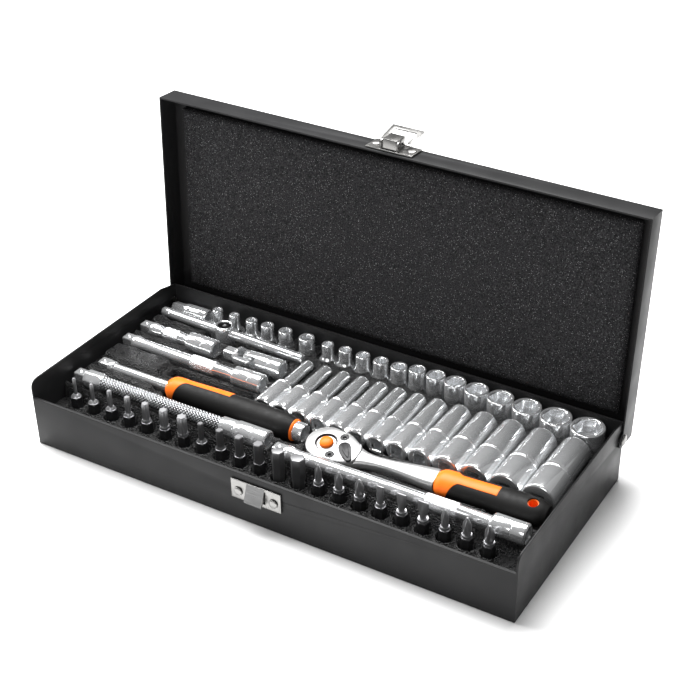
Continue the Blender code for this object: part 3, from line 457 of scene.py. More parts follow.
def make_foam():
    """The sponge pad glued inside the lid: a low crowned block with soft, slightly uneven edges."""
    low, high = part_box("lid_foam_pad")
    pivot = Vector((0, CASE_WIDTH / 2 - HINGE_IN, HINGE_HEIGHT)) * MM
    place = Matrix.Translation(pivot) @ Matrix.Rotation(-LID_LEAN, 4, "X")
    length = (high - low).x / MM
    up_low, up_high, front, back = 8.5, 122.5, 9.0, 12.8
    across, along = 143, 57
    mesh_data = bmesh.new()
    corners = []
    corner = 1.2
    for row in range(along + 1):
        for column in range(across + 1):
            u, v = column / across, row / along
            x = -length / 2 + length * u
            z = up_low + (up_high - up_low) * v
            edge = min(x + length / 2, length / 2 - x, z - up_low, up_high - z)
            fall = corner * max(0.0, 1 - edge / 1.6) ** 2
            crown = 0.25 * math.sin(math.pi * u) * math.sin(math.pi * v)
            ripple = 0.10 * math.sin(x * 0.09 + 1.3) * math.sin(z * 0.13)
            corners.append(mesh_data.verts.new((x, front + fall - crown + ripple * min(1, edge / 6), z)))
    stride = across + 1
    for row in range(along):
        for column in range(across):
            start = row * stride + column
            around = (start, start + 1, start + stride + 1, start + stride)
            mesh_data.faces.new([corners[index] for index in around])
    border = [edge for edge in mesh_data.edges if edge.is_boundary]
    pushed = bmesh.ops.extrude_edge_only(mesh_data, edges=border)["geom"]
    for vertex in (item for item in pushed if isinstance(item, bmesh.types.BMVert)):
        vertex.co.y = back
    bmesh.ops.holes_fill(mesh_data, edges=[e for e in mesh_data.edges if e.is_boundary])
    made = mesh_object("sponge_pad", mesh_data, FOAM, place, edge=0, sharp=60)
    finish_piece(made, "lid", "lid_foam", "lid_foam_pad")


# --- Tray ---------------------------------------------------------------------------------------------


def body_diameter(size):
    return max(DRIVE_BODY, mouth_diameter(size))


def mouth_diameter(size):
    return 1.33 * size + 0.8 + (1.2 if size < 7 else 0)


def row_places(first_x, gap):
    places = [first_x]
    for before, after in zip(SOCKET_SIZES, SOCKET_SIZES[1:]):
        places.append(places[-1] + (body_diameter(before) + body_diameter(after)) / 2 + gap)
    return places


DEEP_PLACES = row_places(112.8, 0.6)
SHORT_PLACES = row_places(116.2, 0.43)
T_BAR_START = Vector((4.0, 114.5))
T_BAR_END = Vector((108.0, 111.0))
T_HEAD = T_BAR_START + (T_BAR_END - T_BAR_START).normalized() * 47.0
HEAD_PLACE = Vector((165.3, 44.4))
HEAD_TOP = 32.8
HANDLE_TURN = math.radians(2.3)
HANDLE_ROLL = math.radians(11)
GRIP_DEPTH = 3.7
LEVER_PLACE = (12.0, -1.2)
SCREW_PLACES = (("front", (6.1, -7.6)), ("back", (7.7, 6.6)))


def smooth(value):
    value = np.clip(value, 0.0, 1.0)
    return value * value * (3 - 2 * value)


def to_line(x, y, start, end):
    """Distance to the stretch between two points."""
    (x0, y0), (x1, y1) = start, end
    length = math.hypot(x1 - x0, y1 - y0) or 1.0
    ux, uy = (x1 - x0) / length, (y1 - y0) / length
    along = np.clip((x - x0) * ux + (y - y0) * uy, 0, length)
    return np.hypot(x - x0 - along * ux, y - y0 - along * uy)


def to_block(x, y, low, high, corner):
    """Signed distance to a block with rounded corners."""
    middle = ((low[0] + high[0]) / 2, (low[1] + high[1]) / 2)
    half = ((high[0] - low[0]) / 2 - corner, (high[1] - low[1]) / 2 - corner)
    dx = np.abs(x - middle[0]) - half[0]
    dy = np.abs(y - middle[1]) - half[1]
    outside = np.hypot(np.maximum(dx, 0), np.maximum(dy, 0))
    return outside + np.minimum(np.maximum(dx, dy), 0) - corner


def tray_height(x, y):
    """The formed tray's surface, above the case's underside."""
    height = np.full_like(x, TRAY_LEVEL)
    for low, high, top in (
        ((4.0, 40.6), (50.0, 45.2), 30.6),
        ((4.0, 56.4), (43.0, 70.6), 31.4),
        ((4.0, 83.6), (44.0, 87.2), 30.6),
        ((4.0, 101.4), (42.0, 108.6), 30.8),
        ((4.0, 118.6), (34.0, 119.8), 29.4),
        ((112.0, 52.0), (152.0, 58.0), 27.6),
        ((196.0, 36.0), (290.0, 38.6), 28.6),
        ((198.0, 55.6), (286.0, 59.6), 28.6),
        ((62.0, 85.6), (106.0, 87.4), 28.8),
    ):
        swell = smooth(-to_block(x, y, low, high, 2.0) / 2.6 + 0.45)
        height = height + (top - TRAY_LEVEL) * swell
    ripple = 0.35 * np.sin(x * 0.35 + 2.0 * np.sin(y * 0.21)) * smooth((58.0 - x) / 10.0)
    height = height + ripple

    def sink(distance, floor, wall=1.9):
        nonlocal height
        rise = smooth((distance + wall) / wall)
        lip = 0.75 * np.exp(-(((distance - 1.1) / 0.75) ** 2))
        height = height + lip * smooth((height - 25.0) / 1.2) * smooth((28.0 - floor) / 2)
        height = floor * (1 - rise) + height * rise

    sink(to_block(x, y, (-4.0, -4.0), (CASE_LENGTH + 4.0, 25.4), 2.5), 18.4, 1.6)
    sink(to_line(x, y, (6, 33), (134, 33)) - 7.0, 22.6)
    sink(to_line(x, y, (144, 28.9), (262, 30.8)) - 5.2, 22.6)
    sink(to_line(x, y, (268, 30.9), (290, 31.2)) - 7.2, 22.6)
    sink(to_line(x, y, (8, 50.5), (56, 50.5)) - 5.2, 23.2)
    sink(to_line(x, y, (63, 50.5), (144, 50.5)) - 9.9, 17.8)
    sink(np.hypot(x - HEAD_PLACE.x, y - HEAD_PLACE.y - 1.2) - 13.8, 18.0)
    sink(to_line(x, y, (172, 46.0), (184, 46.6)) - 11.4, 18.0)
    sink(to_line(x, y, (184, 46.2), (236, 47.6)) - 7.6, 21.0)
    sink(to_line(x, y, (240, 48.0), (290, 49.5)) - 10.4, 17.8)
    sink(to_line(x, y, (6, 77), (84, 77)) - 5.6, 22.6)
    sink(to_line(x, y, (88, 77), (101, 77)) - 7.2, 22.6)
    sink(to_line(x, y, (6, 94), (57, 94)) - 7.0, 22.6)
    sink(to_line(x, y, (67, 95), (103, 95)) - 7.4, 22.6)
    sink(to_line(x, y, (88, 95), (101, 95)) - 10.6, 22.6)
    sink(to_line(x, y, T_BAR_START, T_BAR_END) - 4.9, 24.2)
    slide = (T_BAR_END - T_BAR_START).normalized()
    sink(to_line(x, y, T_HEAD - 36 * slide, T_HEAD + 46 * slide) - 7.6, 12.0)
    sink(to_line(x, y, (8, 125.5), (28, 125.5)) - 6.6, 19.6)
    sink(to_block(x, y, (45.0, 61.2), (104.0, 69.0), 3.0), 8.2)
    sink(to_block(x, y, (107.5, 56.5), (293.0, 63.0), 1.0), 15.4, 1.2)
    for size, place in zip(SOCKET_SIZES, DEEP_PLACES):
        thin = mouth_diameter(size) / 2 + 0.9
        wide = body_diameter(size) / 2 + 0.9
        sink(to_line(x, y, (place, 62 + wide), (place, 80)) - wide, DEEP_HEIGHT - wide - 0.2)
        sink(to_line(x, y, (place, 80), (place, 111 - thin)) - thin, DEEP_HEIGHT - thin - 0.2)
    for size, place in zip(SOCKET_SIZES, SHORT_PLACES):
        radius = body_diameter(size) / 2
        sink(np.hypot(x - place, y - (BACK_ROW_EDGE - radius)) - radius - 1.0, 12.0, 1.4)
    for place in STAR_PLACES:
        radius = DRIVE_BODY / 2
        sink(np.hypot(x - place, y - (BACK_ROW_EDGE - radius)) - radius - 1.0, 12.0, 1.4)
    for index in range(BIT_COUNT):
        away = np.hypot(x - (BIT_FIRST_X + BIT_PITCH * index), y - BIT_Y)
        height = height + 1.5 * np.exp(-(((away - 5.0) / 0.7) ** 2))
        sink(away - 4.7, 12.0, 0.9)
    return height


def make_tray():
    """A formed sheet over a fine grid, with a skirt down to the tray's own underside."""
    low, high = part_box("tool_tray")
    pitch = 0.72 * MM
    xs = np.linspace(low.x, high.x, int((high.x - low.x) / pitch))
    ys = np.linspace(low.y, high.y, int((high.y - low.y) / pitch))
    x, y = np.meshgrid(xs, ys)
    height = tray_height(x / MM + CASE_LENGTH / 2, y / MM + CASE_WIDTH / 2) * MM
    rows, columns = x.shape
    top = np.stack([x, y, height], axis=-1).reshape(-1, 3)
    index = np.arange(rows * columns).reshape(rows, columns)
    quads = np.stack([index[:-1, :-1], index[:-1, 1:], index[1:, 1:], index[1:, :-1]], axis=-1)
    rim = np.concatenate([index[0, :-1], index[:-1, -1], index[-1, :0:-1], index[:0:-1, 0]])
    base = top[rim].copy()
    base[:, 2] = low.z
    start = len(top)
    lower = start + np.arange(len(rim))
    wall = np.stack([rim, lower, np.roll(lower, -1), np.roll(rim, -1)], axis=-1)
    mesh = bpy.data.meshes.new("formed_tray")
    faces = quads.reshape(-1, 4).tolist() + wall.tolist() + [lower[::-1].tolist()]
    mesh.from_pydata(np.concatenate([top, base]).tolist(), [], faces)
    mesh.materials.append(TRAY)
    mesh.shade_smooth()
    mesh.set_sharp_from_angle(angle=math.radians(70))
    made = bpy.data.objects.new("formed_tray", mesh)
    bpy.context.scene.collection.objects.link(made)
    finish_piece(made, "case", "tray_plastic", "tool_tray")


# --- Sockets ------------------------------------------------------------------------------------------


def star_outline(size, angle, height):
    """Six rounded points, as in a star socket or on a star bit."""
    return size / 2 * (0.875 + 0.125 * math.cos(6 * angle))


def knurl(count, pitch, depth):
    """A diamond knurl: two crossing sets of ridges."""

    def outline(size, angle, height):
        phase = height * math.tau / pitch
        ridges = abs(math.cos((count * angle + phase) / 2)) * abs(math.cos((count * angle - phase) / 2))
        return size / 2 + depth * (ridges - 0.5)

    return outline


def knurled_band(name, place, first, span, steps, outline, size, sides):
    """A band of knurling round a tool, as a piece of its own over the plain body."""
    rings = [(first + span * step / steps, outline, size) for step in range(steps + 1)]
    return loft(name, rings, CHROME, place, sides=sides, edge=0, sharp=60)


def deep_socket(size, x):
    """A long socket lying down, with its drive end in front. Big ones have a knurled waist."""
    body = body_diameter(size)
    mouth = mouth_diameter(size)
    bore = min(size, 6.1) - 0.2
    rim = DEEP_LENGTH
    big = mouth >= DRIVE_BODY - 0.5
    outside = [
        (0, body - 1.6),
        (0.8, body),
        (20.4, body),
    ]
    if big:
        outside += [(20.7, body - 0.7), (21.3, body - 0.7), (21.6, body - 0.1)]
        outside += [(23.4, body - 0.1), (23.8, body - 0.9), (rim - 1.2, mouth - 1.1)]
    else:
        outside += [(20.8, body - 0.5), (21.2, body - 0.5), (21.6, body)]
        outside += [(22.6, body - 0.5), (24.2, mouth + 1.6), (26.4, mouth)]
        outside += [(rim - 1.6, mouth - 0.1)]
    outside.append((rim - 0.4, mouth - (1.6 if big else 0.9)))
    inside = [
        (rim, size * 1.16 if big else max(size * 1.15, mouth - 2.0)),
        (rim - 0.8, "hex", size),
        (rim - 12.0, "hex", size),
        (rim - 13.0, bore),
        (10.0, bore),
        (9.0, "square", DRIVE_HOLE),
        (0.7, "square", DRIVE_HOLE),
        (0, "square", DRIVE_HOLE + 0.9),
    ]
    name = f"deep_{size:g}mm".replace(".", "_")
    node = f"deep_socket_{size:g}mm".replace(".", "_")
    place = facing_back(x, DEEP_FRONT, DEEP_HEIGHT)
    lofted_piece(name, outside + inside, CHROME, place, node, "polished_chrome", node, through=True)
    if big:
        ring = knurled_band(f"{name}_knurl", place, 21.7, 1.6, 5, knurl(40, 1.5, 0.22), body - 0.05, 160)
        finish_piece(ring, node, "polished_chrome")


def short_socket(name, x, size, mouth, body, top, shape, node):
    """A short socket standing on its drive end. Shape is hex or star."""
    y = BACK_ROW_EDGE - body / 2
    shoulder = STAND_BOTTOM + 12.2
    stations = [
        (STAND_BOTTOM, body - 1.2),
        (STAND_BOTTOM + 0.6, body),
        (shoulder, body),
        (shoulder + 0.4, body - 0.5),
        (shoulder + 2.6, mouth + 0.1),
        (top - 0.5, mouth),
        (top, mouth - 0.8),
    ]
    lead = size * 1.16 if shape == "hex" else size * 1.05
    outline = "hex" if shape == "hex" else star_outline
    stations += [
        (top - 0.1, min(lead, mouth - 0.9)),
        (top - 0.8, outline, size),
        (top - 8.6, outline, size),
        (top - 9.0, min(size, DRIVE_HOLE) * 0.8),
        (STAND_BOTTOM + 8.0, "square", min(size * 0.8, DRIVE_HOLE)),
        (STAND_BOTTOM + 4.0, "square", min(size * 0.8, DRIVE_HOLE)),
    ]
    lofted_piece(name, stations, CHROME, standing(x, y), "case", "polished_chrome", *node, edge=0.1)


def make_sockets():
    for size, x in zip(SOCKET_SIZES, DEEP_PLACES):
        deep_socket(size, x)
    for index, (size, x) in enumerate(zip(STAR_SIZES, STAR_PLACES)):
        node = ["short_star_sockets"] if index == 0 else []
        name = f"star_socket_{index + 1}"
        short_socket(name, x, size, 1.2 * size + 2.4, DRIVE_BODY, STAND_TOP - 2, "star", node)
    for index, (size, x) in enumerate(zip(SOCKET_SIZES, SHORT_PLACES)):
        node = ["short_hex_sockets"] if index == 0 else []
        top = STAND_TOP - (2.0 if size < 7 else 0)
        name = f"short_{size:g}mm".replace(".", "_")
        short_socket(name, x, size, mouth_diameter(size), body_diameter(size), top, "hex", node)


# --- Bits ---------------------------------------------------------------------------------------------


def cross_outline(size, angle, height):
    """Four wings with flutes between them, as on a cross or crosshead bit."""
    return size / 2 * (0.50 + 0.50 * abs(math.cos(2 * angle)) ** 2.5)


def blade_outline(size, angle, height):
    """A flat blade, thinner towards its tip."""
    thick = 0.7 + 0.22 * max(0.0, STAND_TOP - height)
    return min(size / 2 / max(abs(math.cos(angle)), 1e-6), thick / 2 / max(abs(math.sin(angle)), 1e-6))


def bit_tip(kind, size):
    """Stations of a bit above its shank, up to its tip."""
    start = STAND_TOP - 10.6
    if kind == "hex":
        drop, edge = (2.0, 0.8) if size > BIG_HEX else (0.0, 0.7)
        return [(start - drop, "hex", size), (STAND_TOP - 0.4, "hex", size), (STAND_TOP, "hex", size - edge)]
    if kind == "star":
        return [(start, size * 0.95), (start + 1.4, star_outline, size),
                (STAND_TOP - 0.4, star_outline, size), (STAND_TOP, star_outline, size - 0.5)]
    if kind == "blade":
        return [(start, 3.6), (start + 3.0, 3.8), (start + 5.5, blade_outline, size),
                (STAND_TOP, blade_outline, size)]
    return [(start, size * 0.86), (start + 2.2, size * 0.86),
            (start + 3.4, cross_outline, size), (STAND_TOP - 3.8, cross_outline, size * 0.92),
            (STAND_TOP - 0.2, cross_outline, size * 0.24)]


BIT_GROUPS = {
    "star_bits": ("star", (2.0, 2.3, 2.8, 3.4, 4.2, 4.9, 5.7)),
    "hex_bits": ("hex", (3.0, 3.7, 4.3, 5.0, 6.3, 7.3)),
    "cross_bits": ("cross", (4.6, 5.2, 5.6)),
    "slotted_bits": ("blade", (4.0, 5.0, 6.0)),
    "pozi_bits": ("cross", (4.6, 5.2, 5.6)),
}


def make_bit(name, nodes, kind, size, place):
    """A black hexagonal shank and its tip. A big hex bit is one grey bar with no neck."""
    tip = bit_tip(kind, size)
    top = tip[0][0] - 1.4
    shank = [(STAND_BOTTOM, "hex", 5.6), (STAND_BOTTOM + 0.5, "hex", SHANK_HEX),
             (top - 0.7, "hex", SHANK_HEX)]
    if kind == "hex" and size > BIG_HEX:
        lofted_piece(name, [*shank, *tip], BIT_GREY, place, "case", "bit_steel", *nodes, edge=0.12)
        return
    shank += [(top, 6.1), (top + 0.1, 5.6)]
    lofted_piece(name, shank, BIT_BLACK, place, "case", "bit_steel", *nodes, edge=0.12)
    neck = min(size, 5.4)
    flare = [(top - 0.3, 5.5), (top + 0.6, 4.9 if neck < 4.6 else neck + 0.5),
             (top + 1.5, neck + 0.35)]
    surface = BIT_GREY if kind == "hex" else BIT_TIP
    sides = 72 if kind in ("star", "cross") else ROUND_SIDES
    lofted_piece(f"{name}_tip", [*flare, *tip], surface, place, "case", "bit_steel", sides=sides, edge=0)


def make_bits():
    number = 0
    for node, (kind, sizes) in BIT_GROUPS.items():
        for index, size in enumerate(sizes):
            place = standing(BIT_FIRST_X + BIT_PITCH * number, BIT_Y)
            make_bit(f"{node}_{index + 1}", [node] if index == 0 else [], kind, size, place)
            number += 1


# --- Bars and handles ---------------------------------------------------------------------------------


def drive_square(start):
    """The stations of a male square drive, from its chamfered end to its root."""
    return [
        (start, "square", DRIVE - 1.6),
        (start + 0.9, "square", DRIVE),
        (start + 7.2, "square", DRIVE),
    ]


def square_bore(end, deep=8.0):
    return [
        (end, "square", DRIVE_HOLE + 1.0),
        (end - 0.8, "square", DRIVE_HOLE),
        (end - deep, "square", DRIVE_HOLE),
    ]


def moved(place, x, y, z):
    """A placement shifted along its own axes."""
    return place @ Matrix.Translation(Vector((x, y, z)) * MM)


def detent_ball(name, place, body):
    """The small sprung ball in the side of a male square, on top where the tool lies."""
    up = moved(place, DRIVE / 2 - 0.05, 0, 3.6) @ Matrix.Rotation(math.pi / 2, 4, "Y")
    lofted_piece(
        name, [(-0.4, 1.9), *dome(0.95, 0.55)], CHROME, up, body, "polished_chrome", sides=24, edge=0
    )


def extension(node, start, length, y, knurl_at, body, turn=0.0):
    """A bar with a male square at the left, a knurled band and a female square at the right."""
    socket = length - 19.0
    knurl_start, knurl_end = knurl_at
    place = lying(start, y, ROD_HEIGHT, turn)
    stations = [
        *drive_square(0),
        (7.6, DRIVE_BODY - 3.2),
        (8.2, DRIVE_BODY - 2.8),
        (10.4, DRIVE_BODY - 2.8),
        (13.0, 7.6),
        (15.5, 7.0),
        (knurl_start - 1.4, 7.0),
        (knurl_start, 8.2),
        (knurl_end, 8.2),
        (knurl_end + 1.4, 7.2),
        (socket - 1.6, 7.2),
        (socket, DRIVE_BODY - 0.4),
        (socket + 0.8, DRIVE_BODY),
        (length - 8.6, DRIVE_BODY),
        (length - 8.4, DRIVE_BODY - 0.25),
        (length - 8.0, DRIVE_BODY - 0.25),
        (length - 7.8, DRIVE_BODY),
        (length - 0.9, DRIVE_BODY),
        (length, DRIVE_BODY - 1.6),
        *square_bore(length),
    ]
    name = node.replace("extension_bar", "extension")
    lofted_piece(name, stations, CHROME, place, body, "polished_chrome", node)
    span = knurl_end - knurl_start
    outline = knurl(28, 1.6, 0.30)
    band = knurled_band(
        f"{name}_knurl", place, knurl_start + 0.1, span - 0.2, int(span * 5), outline, 8.45, 168
    )
    finish_piece(band, body, "polished_chrome")
    detent_ball(f"{name}_ball", place, body)


def make_extensions():
    extension("extension_bar_long", 142.0, 149.0, 28.9, (92.0, 110.0), "extension_long", math.radians(0.9))
    extension("extension_bar_medium", 4.0, 99.0, 77.0, (50.0, 66.0), "extension_medium")
    extension("extension_bar_short", 4.0, 54.5, 94.0, (18.0, 28.0), "extension_short")


def braid(size, angle, height):
    """A woven sheath: two sets of wires winding opposite ways, each over the other in turn."""
    phase = height * math.tau / 7.0
    over = math.cos(12 * angle + phase * 3.4)
    under = math.cos(12 * angle - phase * 3.4)
    return size / 2 + 0.34 * max(over, under) - 0.30


def make_flexible_extension():
    place = lying(4.0, 33.0, ROD_HEIGHT)
    body = "flexible_extension"
    drive_end = [
        *drive_square(0), (7.5, 8.4), (8.2, "hex", 9.3), (17.6, "hex", 9.3), (18.6, 9.4),
        (20.0, 9.2),
    ]
    lofted_piece("flexible_drive", drive_end, CHROME, place, body, "polished_chrome", "flexible_drive_end")
    detent_ball("flexible_drive_ball", place, body)
    steps = 410
    rings = [(20.0 + 82.0 * step / steps, braid, 8.3) for step in range(steps + 1)]
    lofted_piece(
        "flexible_braid", rings, WOVEN, place,
        body, "woven_steel", "flexible_sheath", sides=FINE_SIDES, edge=0, sharp=70,
    )
    socket_end = [
        (101.6, 9.0), (102.0, 10.2), (110.6, 10.4), (110.9, 10.0),
        (111.4, 10.0), (111.8, 11.2), (112.4, DRIVE_BODY),
        (121.6, DRIVE_BODY), (121.8, DRIVE_BODY - 0.3), (122.3, DRIVE_BODY - 0.3),
        (122.5, DRIVE_BODY), (131.2, DRIVE_BODY), (132.0, DRIVE_BODY - 1.5),
        *square_bore(132.0),
    ]
    lofted_piece(
        "flexible_socket", socket_end, CHROME, place, body, "polished_chrome", "flexible_socket_end"
    )


def make_bit_adapter():
    stations = [
        (0, "hex", 6.6), (0.8, "hex", 7.4), (8.8, "hex", 7.4), (9.4, 8.6), (10.0, 9.8),
        (13.0, 10.0), (13.3, 9.5), (13.9, 9.5), (14.2, 10.2),
        (25.0, 10.2), (26.0, 9.0), *square_bore(26.0),
    ]
    lofted_piece(
        "adapter", stations, CHROME, lying(4.0, 125.5, 26.5),
        "bit_adapter", "polished_chrome", "bit_adapter",
    )


def grip_patch(radius_at, start, end, half_angle, centre, lift, stretch=1.0, rows=90, columns=64):
    """A thin shell over a grip: half_angle gives how far round it reaches at each place along it."""
    mesh_data = bmesh.new()
    outer, inner = [], []
    for row in range(rows + 1):
        along = start + (end - start) * row / rows
        reach = half_angle(along)
        line_out, line_in = [], []
        for column in range(columns + 1):
            angle = centre + reach * (2 * column / columns - 1)
            edge = min(1.0, min(column, columns - column) / 3, row / 2 + 0.2, (rows - row) / 2 + 0.2)
            for line, more in ((line_out, lift * edge ** 0.5), (line_in, -0.5)):
                radius = radius_at(along) + more
                point = (radius * math.cos(angle), stretch * radius * math.sin(angle), along)
                line.append(mesh_data.verts.new(point))
        outer.append(line_out)
        inner.append(line_in)
    for row in range(rows):
        for column in range(columns):
            for sheet, order in ((outer, 1), (inner, -1)):
                corners = [sheet[row][column], sheet[row][column + 1], sheet[row + 1][column + 1],
                           sheet[row + 1][column]]
                mesh_data.faces.new(corners[::order])
        for column in (0, columns):
            mesh_data.faces.new((outer[row][column], outer[row + 1][column], inner[row + 1][column],
                                 inner[row][column]))
    for row in (0, rows):
        for column in range(columns):
            mesh_data.faces.new((outer[row][column], outer[row][column + 1], inner[row][column + 1],
                                 inner[row][column]))
    return mesh_data


def profile_radius(profile):
    heights = [height for height, _ in profile]
    radii = [size / 2 for _, size in profile]

    def radius_at(height):
        return float(np.interp(height, heights, radii))

    return radius_at


def smoothed(profile, step=1.0):
    """The profile at even steps, with its corners eased."""
    heights = np.arange(profile[0][0], profile[-1][0] + step / 2, step)
    sizes = np.interp(heights, [p[0] for p in profile], [p[1] for p in profile])
    for _ in range(3):
        sizes[1:-1] = (sizes[:-2] + 2 * sizes[1:-1] + sizes[2:]) / 4
    return [(float(h), float(s)) for h, s in zip(heights, sizes)]


def stripe_reach(collar):
    """How far round the grip the orange reaches: all round at the collar, then a stripe."""

    def reach(along):
        fall = min(1.0, max(0.0, along - collar) / 9.0)
        return math.radians(24 + 154 * (1 - fall) ** 2.4)

    return reach


def grip(name, profile, collar, stripe_end, place, body, nodes, centre, stretch=1.0):
    """A black rubber sleeve, with the orange of its core showing as a collar and a stripe."""
    profile = smoothed(profile)
    radius_at = profile_radius(profile)
    mesh_data = loft_mesh(profile, FINE_SIDES)
    bmesh.ops.scale(mesh_data, vec=(1, stretch, 1), verts=mesh_data.verts)
    sleeve = mesh_object(f"{name}_sleeve", mesh_data, RUBBER, place, edge=0.3)
    finish_piece(sleeve, body, "grip_rubber", nodes[0])
    start = profile[0][0] - 0.2
    patch = grip_patch(radius_at, start, stripe_end, stripe_reach(collar), centre, 0.22, stretch)
    inlay = mesh_object(f"{name}_inlay", patch, ORANGE, place, edge=0, sharp=50)
    finish_piece(inlay, body, "orange_plastic", nodes[1])
    return sleeve


def make_spinner():
    place = lying(7.0, 50.5, GRIP_HEIGHT)
    shaft = [
        *drive_square(0), (7.4, 7.4), (8.0, 7.8), (10.4, 7.8), (11.6, 5.8),
        (13.0, 5.6), (51.0, 5.6),
    ]
    lofted_piece("spinner_bar", shaft, CHROME, place, "spinner", "polished_chrome", "spinner_shaft")
    detent_ball("spinner_ball", place, "spinner")
    profile = [
        (50.2, 9.6), (51.4, 12.4), (53.6, 14.2), (57.0, 14.5), (63.0, 14.3), (80.0, 15.5), (100.0, 16.4),
        (118.0, 16.4), (128.0, 15.6), (132.0, 14.0), (133.8, 12.6),
    ]
    grip("spinner", profile, 55.0, 92.0, place, "spinner", ("spinner_grip_sleeve", "spinner_grip_collar"),
         math.radians(-20))
    ring = [(133.5, 12.7), (134.4, 12.6), (135.2, 11.6), (135.3, 9.0)]
    lofted_piece("spinner_end_ring", ring, ORANGE, place, "spinner", "orange_plastic", edge=0.2)
    end = [(135.0, 11.0), (139.4, 10.6), (140.8, 9.8), *square_bore(140.8, 5.5)]
    lofted_piece("spinner_socket", end, CHROME, place, "spinner", "polished_chrome", "spinner_end_drive")


def make_t_bar():
    along = T_BAR_END - T_BAR_START
    turn = math.atan2(along.y, along.x)
    length = along.length
    place = lying(T_BAR_START.x, T_BAR_START.y, ROD_HEIGHT, turn)
    stations = [
        (0, 4.6), (0.8, 5.9), (3.0, 6.2), (6.0, 6.2), (6.5, 5.5),
        (7.3, 5.5), (7.8, 6.2), (length - 8, 6.2), (length - 7.5, 5.6),
        (length - 6.7, 5.6), (length - 6.2, 6.2), (length - 0.8, 5.9),
        (length, 4.6),
    ]
    lofted_piece("t_bar", stations, CHROME, place, "t_bar_rod", "polished_chrome", "t_bar_rod")
    head = [
        *drive_square(-15.0), (-7.2, 9.6), (-6.6, 10.6), (-4.8, 11.5),
        (3.6, 11.5), (5.0, 10.8), (5.35, 9.9), (5.05, 8.6),
        (4.7, 8.2),
    ]
    head_place = standing(T_HEAD.x, T_HEAD.y, ROD_HEIGHT) @ Matrix.Rotation(turn, 4, "Z")
    made = loft("t_bar_slider", head, CHROME, head_place)
    cutter = loft("rod_way", [(-9, 6.7), (9, 6.7)], CHROME,
                  head_place @ Matrix.Rotation(math.pi / 2, 4, "Y"), edge=0)
    cut_away(made, cutter)
    finish_piece(made, "t_bar_head", "polished_chrome", "t_bar_head")
    cap = [(4.4, 8.1), (4.85, 8.1), (4.95, 7.6), (4.95, 2.2),
           (4.6, 1.9)]
    lofted_piece("t_bar_cap", cap, DARK_STEEL, head_place, "t_bar_head", "polished_chrome", edge=0.05)


def cut_away(made, cutter):
    """Cuts one object out of another, and removes the cutter."""
    modifier = made.modifiers.new("cut", "BOOLEAN")
    modifier.operation = "DIFFERENCE"
    modifier.object = cutter
    materials = list(made.data.materials)
    settle(made)
    made.data.materials.clear()
    for item in materials[:1]:
        made.data.materials.append(item)
    for face in made.data.polygons:
        face.material_index = 0
    made.data.shade_smooth()
    made.data.set_sharp_from_angle(angle=math.radians(38))
    bpy.data.objects.remove(cutter)


def cut_prongs(made, name, place, side):
    """Cuts a fork's slot, and the flats above and below its prongs."""
    far = 12.0
    tip = JOINT_CENTRE + side * far
    for part, low, high, depth in (
        ("slot", -SLOT_HALF, SLOT_HALF, 7.2), ("under", -far, -PRONG_HALF, 5.8), ("over", PRONG_HALF, far, 5.8),
    ):
        z_low, z_high = sorted((JOINT_CENTRE - side * depth, tip))
        narrow_y = (part == "slot") == (side == 1)
        y_low, y_high = (low, high) if narrow_y else (-far, far)
        x_low, x_high = (-far, far) if narrow_y else (low, high)
        mesh_data = block_mesh(Vector((x_low, y_low, z_low)), Vector((x_high, y_high, z_high)))
        cut_away(made, mesh_object(f"{name}_{part}", mesh_data, CHROME, place, edge=0))


def make_fork(name, stations, node, side, place):
    """One fork with the two pin heads that show on it. Side is 1 where its prongs point along Z."""
    made = loft(name, stations, CHROME, place)
    cut_prongs(made, name, place, side)
    finish_piece(made, node, "polished_chrome", node)
    pin_place = moved(place, 0, 0, JOINT_CENTRE) @ Matrix.Rotation(math.pi / 2, 4, "X" if side == 1 else "Y")
    for end_side in (-1, 1):
        head = [(5.1, 3.0), (5.5, 3.0), (5.75, 2.2)]
        stations = [(height * end_side, size) for height, size in head]
        lofted_piece(
            f"{name}_pin_{end_side + 1}", stations, SATIN, pin_place, node, "polished_chrome", edge=0
        )


def make_universal_joint():
    """Two forks at right angles on a cross block."""
    place = lying(64.0, 95.0, ROD_HEIGHT)
    end = JOINT_CENTRE + 23.0
    drive_fork = [
        *drive_square(0), (7.3, 8.0), (8.0, 9.4), (9.6, DRIVE_BODY),
        (JOINT_CENTRE, DRIVE_BODY), (JOINT_CENTRE + PRONG_REACH, DRIVE_BODY - 2.4),
    ]
    socket_fork = [
        (JOINT_CENTRE - PRONG_REACH, DRIVE_BODY - 2.4), (JOINT_CENTRE, DRIVE_BODY),
        (end - 9.2, DRIVE_BODY), (end - 9.0, DRIVE_BODY - 0.3),
        (end - 8.4, DRIVE_BODY - 0.3), (end - 8.2, DRIVE_BODY),
        (end - 0.9, DRIVE_BODY), (end, DRIVE_BODY - 1.6), *square_bore(end),
    ]
    make_fork("joint_drive_fork", drive_fork, "universal_drive_fork", 1, place)
    make_fork("joint_socket_fork", socket_fork, "universal_socket_fork", -1, place)
    softened("joint_cross", "universal_cross", CHROME, "universal_cross", "polished_chrome", 0.25)


# --- Ratchet ------------------------------------------------------------------------------------------


def smooth_outline(points):
    """Rounds off an outline's corners by cutting each one."""
    rounded = []
    for index, (x0, y0) in enumerate(points):
        x1, y1 = points[(index + 1) % len(points)]
        rounded.append((x0 * 0.75 + x1 * 0.25, y0 * 0.75 + y1 * 0.25))
        rounded.append((x0 * 0.25 + x1 * 0.75, y0 * 0.25 + y1 * 0.75))
    return rounded


def mirrored(points):
    return [*points, *[(x, -y) for x, y in reversed(points)]]


